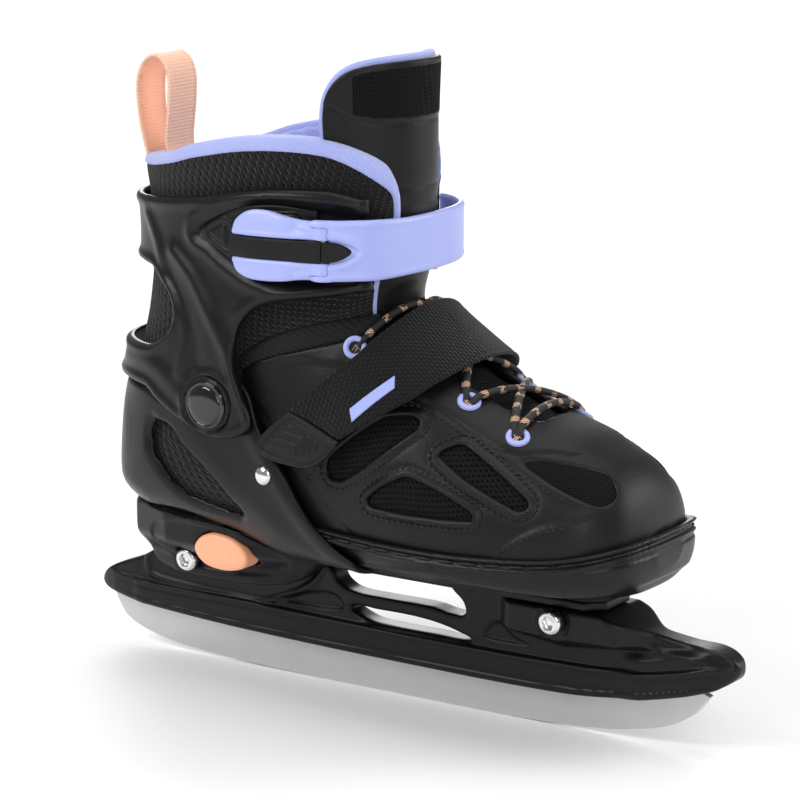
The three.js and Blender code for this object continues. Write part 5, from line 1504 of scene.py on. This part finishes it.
def lever():
    """The buckle's lever: two lobes, a trough for the insert, a knuckle on the pin."""
    block = Block((-56, -64, 168), (-11, -34, 205), step=.45)
    x, y, z = block.x, block.y, block.z
    edge = within(LEVER_OUTLINE, x, z)
    middle = np.abs(z - LEVEL)
    crown = 15.2 - 1.5 * ease(middle, 9, 16) - 1.2 * ease(-x, 44, 54)
    crown = crown + .5 * np.exp(-((x + 31) / 4) ** 2) * ease(middle, 6, 10)
    shelf = .9 * ease(x, -29, -25.5) * ease(middle, 6.6, 8.2)
    crown = crown - shelf
    trough = joined(middle - 4.35, 13.0 - block.last, 0)
    step = .5 * np.exp(-((middle - 5.6) / .8) ** 2)
    body = joined(joined(block.last - crown - step, 11.25 - block.last, 1.0), edge, 1.3)
    knuckle = np.hypot(x - HINGE[0], y - HINGE[1]) - 3.4
    arm = within([(-24, -46.4), (-15, -45.2), (-15, -40.6), (-24, -43.6)], x, y)
    knuckle = joined(merged(knuckle, arm, 1.5), middle - 9.3, .6)
    body = merged(body, knuckle, .8)
    sunk = joined(within(INSERT_PLAN + [0, .5], x, y), middle - 4.35, 0)
    body = joined(joined(body, -trough, .5), -sunk, .4)
    return moulded("lever_moulding", block, body, LAVENDER)

lever_piece = lever()
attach(lever_piece, "lever_body")
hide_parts("lever")

PIN_RINGS = [(0, -11.4, 0), (1.4, -11.4, 0), (1.7, -11.0, 0), (1.7, 11.0, 0), (1.4, 11.4, 0),
             (0, 11.4, 0)]
lever_pin = turned("lever_pin_turned", PIN_RINGS, CHROME, (HINGE[0], HINGE[1], LEVEL), (0, 0, 1),
                   24, "strap_body")
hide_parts("lever_pin")

def lever_insert():
    """The dark grip that fills the lever's trough and runs on over the knuckle."""
    block = Block((-57, -64, 179), (-11, -34, 193), step=.4)
    x, z = block.x, block.z
    edge = within(curved([(-54.6, 180.1), (-54.6, 188.5), (-20, 188.5), (-14.4, 188.4),
                          (-14.4, 180.4), (-20, 180.1)], corners=(0, 1, 2, 3, 4, 5)), x, z)
    crown = 15.5 - .4 * (np.abs(z - LEVEL) / 4.2) ** 2 - 1.2 * ease(-x, 44, 55)
    lid = joined(joined(block.last - crown, 12.6 - block.last, .4), x + 22, 0)
    tail = joined(within(INSERT_PLAN, x, block.y), -25 - x, 0)
    body = joined(merged(lid, tail, .4), edge, .8)
    return moulded("lever_insert_moulding", block, body, RUBBER)

insert = lever_insert()
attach(insert, "lever_body")
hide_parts("lever_insert")

# %% [markdown]
# ## Eyelets and laces
# Washers of lavender plastic are set in the eyestay. The lace is a round braid, black with peach
# flecks, that crosses the throat in arcs. It is swept along its path with a map of lengths, so the
# braid and the flecks run along it.

# %% Eyelets
EYELET_ROWS = [(-10, 145.5), (13, 137), (36, 128), (59, 117.5)]
EYELET_RINGS = [(2.3, -1.2, 0), (2.35, .5, 0), (2.6, 1.15, 0), (3.2, 1.55, 0), (3.9, 1.55, 0),
                (4.5, 1.15, 0), (4.7, .5, 0), (4.7, -.2, 0)]

for side, word in ((LATERAL, "lateral"), (MEDIAL, "medial")):
    for row, spot in enumerate(EYELET_ROWS):
        point, out = square_to(spot, .3, side)
        name = f"eyelet_{word}_{row + 1}"
        ring = turned(name + "_washer", EYELET_RINGS, LAVENDER, point, tuple(out), 32, "toe_half")
        # A flat near-black disc in the washer's bore is painted shade standing for the hole.
        hole_shade = turned(name + "_hole", [(2.4, .2, 0), (1.2, .22, 0)], THREAD, point, tuple(out), 24,
                      "toe_half")
        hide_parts(name)
print(2 * len(EYELET_ROWS), "eyelets set")

# %% Laces
def tube(name, points, sides, material, uv):
    """Rings of points joined into a tube with closed ends."""
    index = np.arange(len(points)).reshape(-1, sides)
    beside = np.roll(index, -1, 1)
    quads = np.stack([index[:-1], beside[:-1], beside[1:], index[1:]], -1).reshape(-1, 4)
    made = piece(name, points, quads, material, uv)
    bm = bmesh.new()
    bm.from_mesh(made.data)
    bmesh.ops.holes_fill(bm, edges=[e for e in bm.edges if e.is_boundary], sides=0)
    bmesh.ops.recalc_face_normals(bm, faces=bm.faces)
    bm.to_mesh(made.data)
    bm.free()
    return made

def swept(name, path, radius, material, sides=10, flat=.8):
    """A tube round a smooth path, with lengths along and round it in its map."""
    path = np.asarray(path, float)
    ahead = np.gradient(path, axis=0)
    ahead /= np.linalg.norm(ahead, axis=1)[:, None]
    across = np.cross(ahead, (0, 0, 1))
    across /= np.linalg.norm(across, axis=1)[:, None] + 1e-9
    up = np.cross(across, ahead)
    length = length_along(path)
    rings, uv = [], []
    for k in range(sides):
        a = 2 * math.pi * k / sides
        rings.append(path + radius * (math.cos(a) * across + flat * math.sin(a) * up))
        uv.append(np.stack([length, np.full(len(path), k / sides * 2 * math.pi * radius)], 1))
    points = np.stack(rings, 1).reshape(-1, 3)
    return tube(name, points, sides, material, np.stack(uv, 1).reshape(-1, 2) * MM)

def lace_group():
    """A braid of slanting strands, with flecks of a second colour in short runs."""
    tree, start, end = group_of("lace_braid", [("Pitch", .0011)], ["Height", "Fleck"])
    split = add_node(tree, "ShaderNodeSeparateXYZ", start.outputs["Vector"])
    along = maths(tree, "DIVIDE", split.outputs[0], start.outputs["Pitch"])
    around = maths(tree, "DIVIDE", split.outputs[1], .00101)
    turn = 2 * math.pi
    a = maths(tree, "SINE", maths(tree, "MULTIPLY", maths(tree, "ADD", along, around), turn))
    b = maths(tree, "SINE", maths(tree, "MULTIPLY", maths(tree, "SUBTRACT", along, around), turn))
    tree.links.new(maths(tree, "MAXIMUM", a, b), end.inputs["Height"])
    run = maths(tree, "SINE", maths(tree, "MULTIPLY", along, .83))
    lane = maths(tree, "GREATER_THAN", a, .1)
    broken = noise(tree, start.outputs["Vector"], 330.0, 1.0)
    fleck = maths(tree, "MULTIPLY", lane, maths(tree, "GREATER_THAN", run, .5))
    fleck = maths(tree, "MULTIPLY", fleck, maths(tree, "GREATER_THAN", broken, .44))
    tree.links.new(fleck, end.inputs["Fleck"])
    return tree

LACE = finish_of("lace_braid", lace_group(), "161617", "ffc9a4", rough=.6, bump=.5, depth=.0002,
                 coordinates="UV", mask="Fleck")

def lace_run(start, finish, lift=2.6):
    """From a lateral eyelet over the tongue to a medial one, dipping into both."""
    a = locate([start[0]], [start[1]], lift)
    b = locate([finish[0]], [finish[1]], lift)
    share = np.linspace(0, 1, 41)
    u = a[0][0] + (b[0][0] - a[0][0]) * share
    across = -math.sqrt(a[1][0]) + (math.sqrt(b[1][0]) + math.sqrt(a[1][0])) * share
    side = np.where(across < 0, LATERAL, MEDIAL)
    ends = np.minimum(share, 1 - share)
    height = -.8 + (lift + .9) * ease(ends, 0, .13)
    points = np.array([last_point([u[i]], across[i] ** 2, height[i], side[i])[0]
                       for i in range(len(share))])
    for _ in range(3):
        points[1:-1] = (points[:-2] + 2 * points[1:-1] + points[2:]) / 4
    return points

LACE_RUNS = [lace_run(EYELET_ROWS[3], EYELET_ROWS[3])]
for row in range(3):
    LACE_RUNS.append(lace_run(EYELET_ROWS[row], EYELET_ROWS[row + 1], 2.9))
    LACE_RUNS.append(lace_run(EYELET_ROWS[row + 1], EYELET_ROWS[row], 2.1 if row else 2.4))
laces = [swept(f"lace_run_{i + 1}", path, 1.75, LACE) for i, path in enumerate(LACE_RUNS)]
for i, run in enumerate(laces):
    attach(run, "toe_half")
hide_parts("lace")
print(len(laces), "lace runs")

# %% Pull loop
def pull_loop():
    """A folded band of webbing with thicker selvedges, standing up behind the collar."""
    path = curved([(-113.2, 206), (-115.3, 214), (-113.6, 232), (-114.2, 243), (-119.5, 248.6),
                   (-125.6, 246.2), (-129.2, 238), (-128.4, 222), (-125.2, 208), (-122.6, 200)],
                  closed=False)
    ahead = np.gradient(path, axis=0)
    ahead /= np.linalg.norm(ahead, axis=1)[:, None]
    out = np.stack([ahead[:, 1], -ahead[:, 0]], 1)
    length = length_along(path)
    lean = 1 - .12 * ease(length, length[-1] * .6, length[-1])
    profile = [(-9, .0), (-8.7, .62), (-7.8, .62), (-7.6, .5)] \
        + [(w, .5) for w in np.linspace(-6, 6, 9)] + [(7.6, .5), (7.8, .62), (8.7, .62), (9, 0)]
    profile += [(w, -h) for w, h in reversed(profile[1:-1])]
    points, uv = [], []
    for i in range(len(path)):
        for w, h in profile:
            spot = path[i] + out[i] * h * 1.4
            points.append((spot[0], w * lean[i], spot[1]))
            uv.append((length[i] * MM, w * MM + (.05 if h < 0 else 0)))
    return tube("pull_loop_webbing", np.array(points), len(profile), PEACH_WEB, np.array(uv))

loop = pull_loop()
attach(loop, "cuff_body")
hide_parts("pull_loop")
print("pull_loop_webbing", len(loop.data.polygons), "faces")

# %% [markdown]
# ## Stitching
# Every seam is one wire laid on the last. A node tree turns the wires into curves, walks along
# them at the stitch pitch and drops a small rounded thread on each step, turned along the seam.

# %% Stitch tree
def stitch_tree():
    """Wires in, stitches out: curve, steps, small threads turned along the seam."""
    tree = bpy.data.node_groups.new("stitching", "GeometryNodeTree")
    face = tree.interface
    face.new_socket("Geometry", in_out="INPUT", socket_type="NodeSocketGeometry")
    for title in ("Pitch", "Stitch Length", "Thickness"):
        face.new_socket(title, in_out="INPUT", socket_type="NodeSocketFloat")
    face.new_socket("Material", in_out="INPUT", socket_type="NodeSocketMaterial")
    face.new_socket("Geometry", in_out="OUTPUT", socket_type="NodeSocketGeometry")
    start = tree.nodes.new("NodeGroupInput")
    end = tree.nodes.new("NodeGroupOutput")
    make, link = tree.nodes.new, tree.links.new
    curve = make("GeometryNodeMeshToCurve")
    steps = make("GeometryNodeResampleCurve")
    steps.mode = "LENGTH"
    thread = make("GeometryNodeMeshIcoSphere")
    thread.inputs["Radius"].default_value = .5
    thread.inputs["Subdivisions"].default_value = 2
    tangent = make("GeometryNodeInputTangent")
    turn = make("FunctionNodeAlignRotationToVector")
    turn.axis = "X"
    size = make("ShaderNodeCombineXYZ")
    spread = make("GeometryNodeInstanceOnPoints")
    real = make("GeometryNodeRealizeInstances")
    look = make("GeometryNodeSetMaterial")
    link(start.outputs["Geometry"], curve.inputs["Mesh"])
    link(curve.outputs["Curve"], steps.inputs["Curve"])
    link(start.outputs["Pitch"], steps.inputs["Length"])
    link(tangent.outputs["Tangent"], turn.inputs["Vector"])
    link(start.outputs["Stitch Length"], size.inputs["X"])
    link(start.outputs["Thickness"], size.inputs["Y"])
    link(start.outputs["Thickness"], size.inputs["Z"])
    link(steps.outputs["Curve"], spread.inputs["Points"])
    link(thread.outputs["Mesh"], spread.inputs["Instance"])
    link(turn.outputs["Rotation"], spread.inputs["Rotation"])
    link(size.outputs["Vector"], spread.inputs["Scale"])
    link(spread.outputs["Instances"], real.inputs["Geometry"])
    link(real.outputs["Geometry"], look.inputs["Geometry"])
    link(start.outputs["Material"], look.inputs["Material"])
    link(look.outputs["Geometry"], end.inputs["Geometry"])
    return tree

STITCHING = stitch_tree()
print("stitch tree", len(STITCHING.nodes), "nodes")

def stitches(name, wires, body, pitch=2.6, length=1.7, thick=.62):
    """Threads along wires given as point lists in millimetres, as one plain mesh on a body."""
    verts, edges = [], []
    for wire in wires:
        first = len(verts)
        verts += [tuple(p * MM) for p in np.asarray(wire, float)]
        edges += [(first + i, first + i + 1) for i in range(len(wire) - 1)]
    seed = bpy.data.meshes.new(name + "_wire")
    seed.from_pydata(verts, edges, [])
    holder = added(name + "_wire", seed)
    mod = holder.modifiers.new("stitching", "NODES")
    mod.node_group = STITCHING
    values = {"Pitch": pitch * MM, "Stitch Length": length * MM, "Thickness": thick * MM,
              "Material": THREAD}
    for item in STITCHING.interface.items_tree:
        if item.in_out == "INPUT" and item.name in values:
            mod[item.identifier] = values[item.name]
    bpy.context.view_layer.update()
    ready = holder.evaluated_get(bpy.context.evaluated_depsgraph_get())
    mesh = bpy.data.meshes.new_from_object(ready)
    mesh.name = name
    bpy.data.objects.remove(holder)
    bpy.data.meshes.remove(seed)
    made = added(name, mesh)
    for face in mesh.polygons:
        face.use_smooth = True
    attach(made, body)
    print(name, len(mesh.polygons), "faces")

def grown(outline, distance):
    """An outline moved outward, as a closed wire."""
    points = softened(outline, 1)
    ahead = np.roll(points, -1, 0) - np.roll(points, 1, 0)
    ahead /= np.linalg.norm(ahead, axis=1)[:, None] + 1e-9
    out = np.stack([ahead[:, 1], -ahead[:, 0]], 1)
    x, z = points[:, 0], points[:, 1]
    area = np.sum(x * np.roll(z, -1) - z * np.roll(x, -1))
    moved = points + out * distance * np.sign(area)
    return np.vstack([moved, moved[:1]])

# %% Seams of the upper
SEAM_LINES = [
    (line([(-48, 121), (-38, 124.4), (-28, 119), (-19, 110), (-20, 100), (-25, 94)]), .25),
    (EYESTAY[(EYESTAY[:, 0] < 60)] - [0, 1.6], .3),
    (TOE_CAP[(TOE_CAP[:, 0] < 88)] - [0, 1.8], 1.0),
    (line([(66, 106.6), (74, 103.4), (84, 99.2)]), .3),
]
wires = []
for side in (LATERAL, MEDIAL):
    for panel in PANELS:
        wires.append(on_last(grown(panel, 3.7), .2, side))
    for path, offset in SEAM_LINES:
        wires.append(on_last(path, offset, side))
stitches("upper_stitching", wires, "toe_half")

# %% Welt stitches
run = np.linspace(-24, 104, 90)
run = np.stack([run, height_of(TOE_TOP, run) - 2.8], 1)
wires = [on_last(run, 1.9, side) for side in (LATERAL, MEDIAL)]
stitches("welt_stitching", wires, "toe_half", pitch=9.6, length=7.6, thick=1.2)

# %% Seams of the strap end and the tongue
wires = [on_last(grown(TAB_OUTLINE, -2.5), 7.9, LATERAL),
         on_last(grown(ANCHOR_OUTLINE, -2.5), 7.8, MEDIAL)]
stitches("strap_end_stitching", wires, "toe_half", pitch=2.2, length=1.4, thick=.5)
tongue_seam = line([(-20.5, 236.6), (-12, 231.6), (-4, 230.2)])
wires = [on_last(tongue_seam, -.1, side) for side in (LATERAL, MEDIAL)]
stitches("tongue_stitching", wires, "cuff_body", pitch=2.2, length=1.4, thick=.5)

# %% [markdown]
# ## Solids kept from the frame
# Nuts, pins, the spring, the size rack and the footbed are seen only through gaps. They keep
# their shapes and get the matching materials.

# %% Materials of the kept solids
KEPT = {"rear_nut": ZINC, "front_nut": ZINC, "pivot_pin_lateral": ZINC, "pivot_pin_medial": ZINC,
        "button_spring": ZINC, "size_rack": SHELL, "insole": FOOTBED}
for name, material in KEPT.items():
    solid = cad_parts[name]
    solid.data.materials.clear()
    solid.data.materials.append(material)
print(len(KEPT), "kept solids dressed")
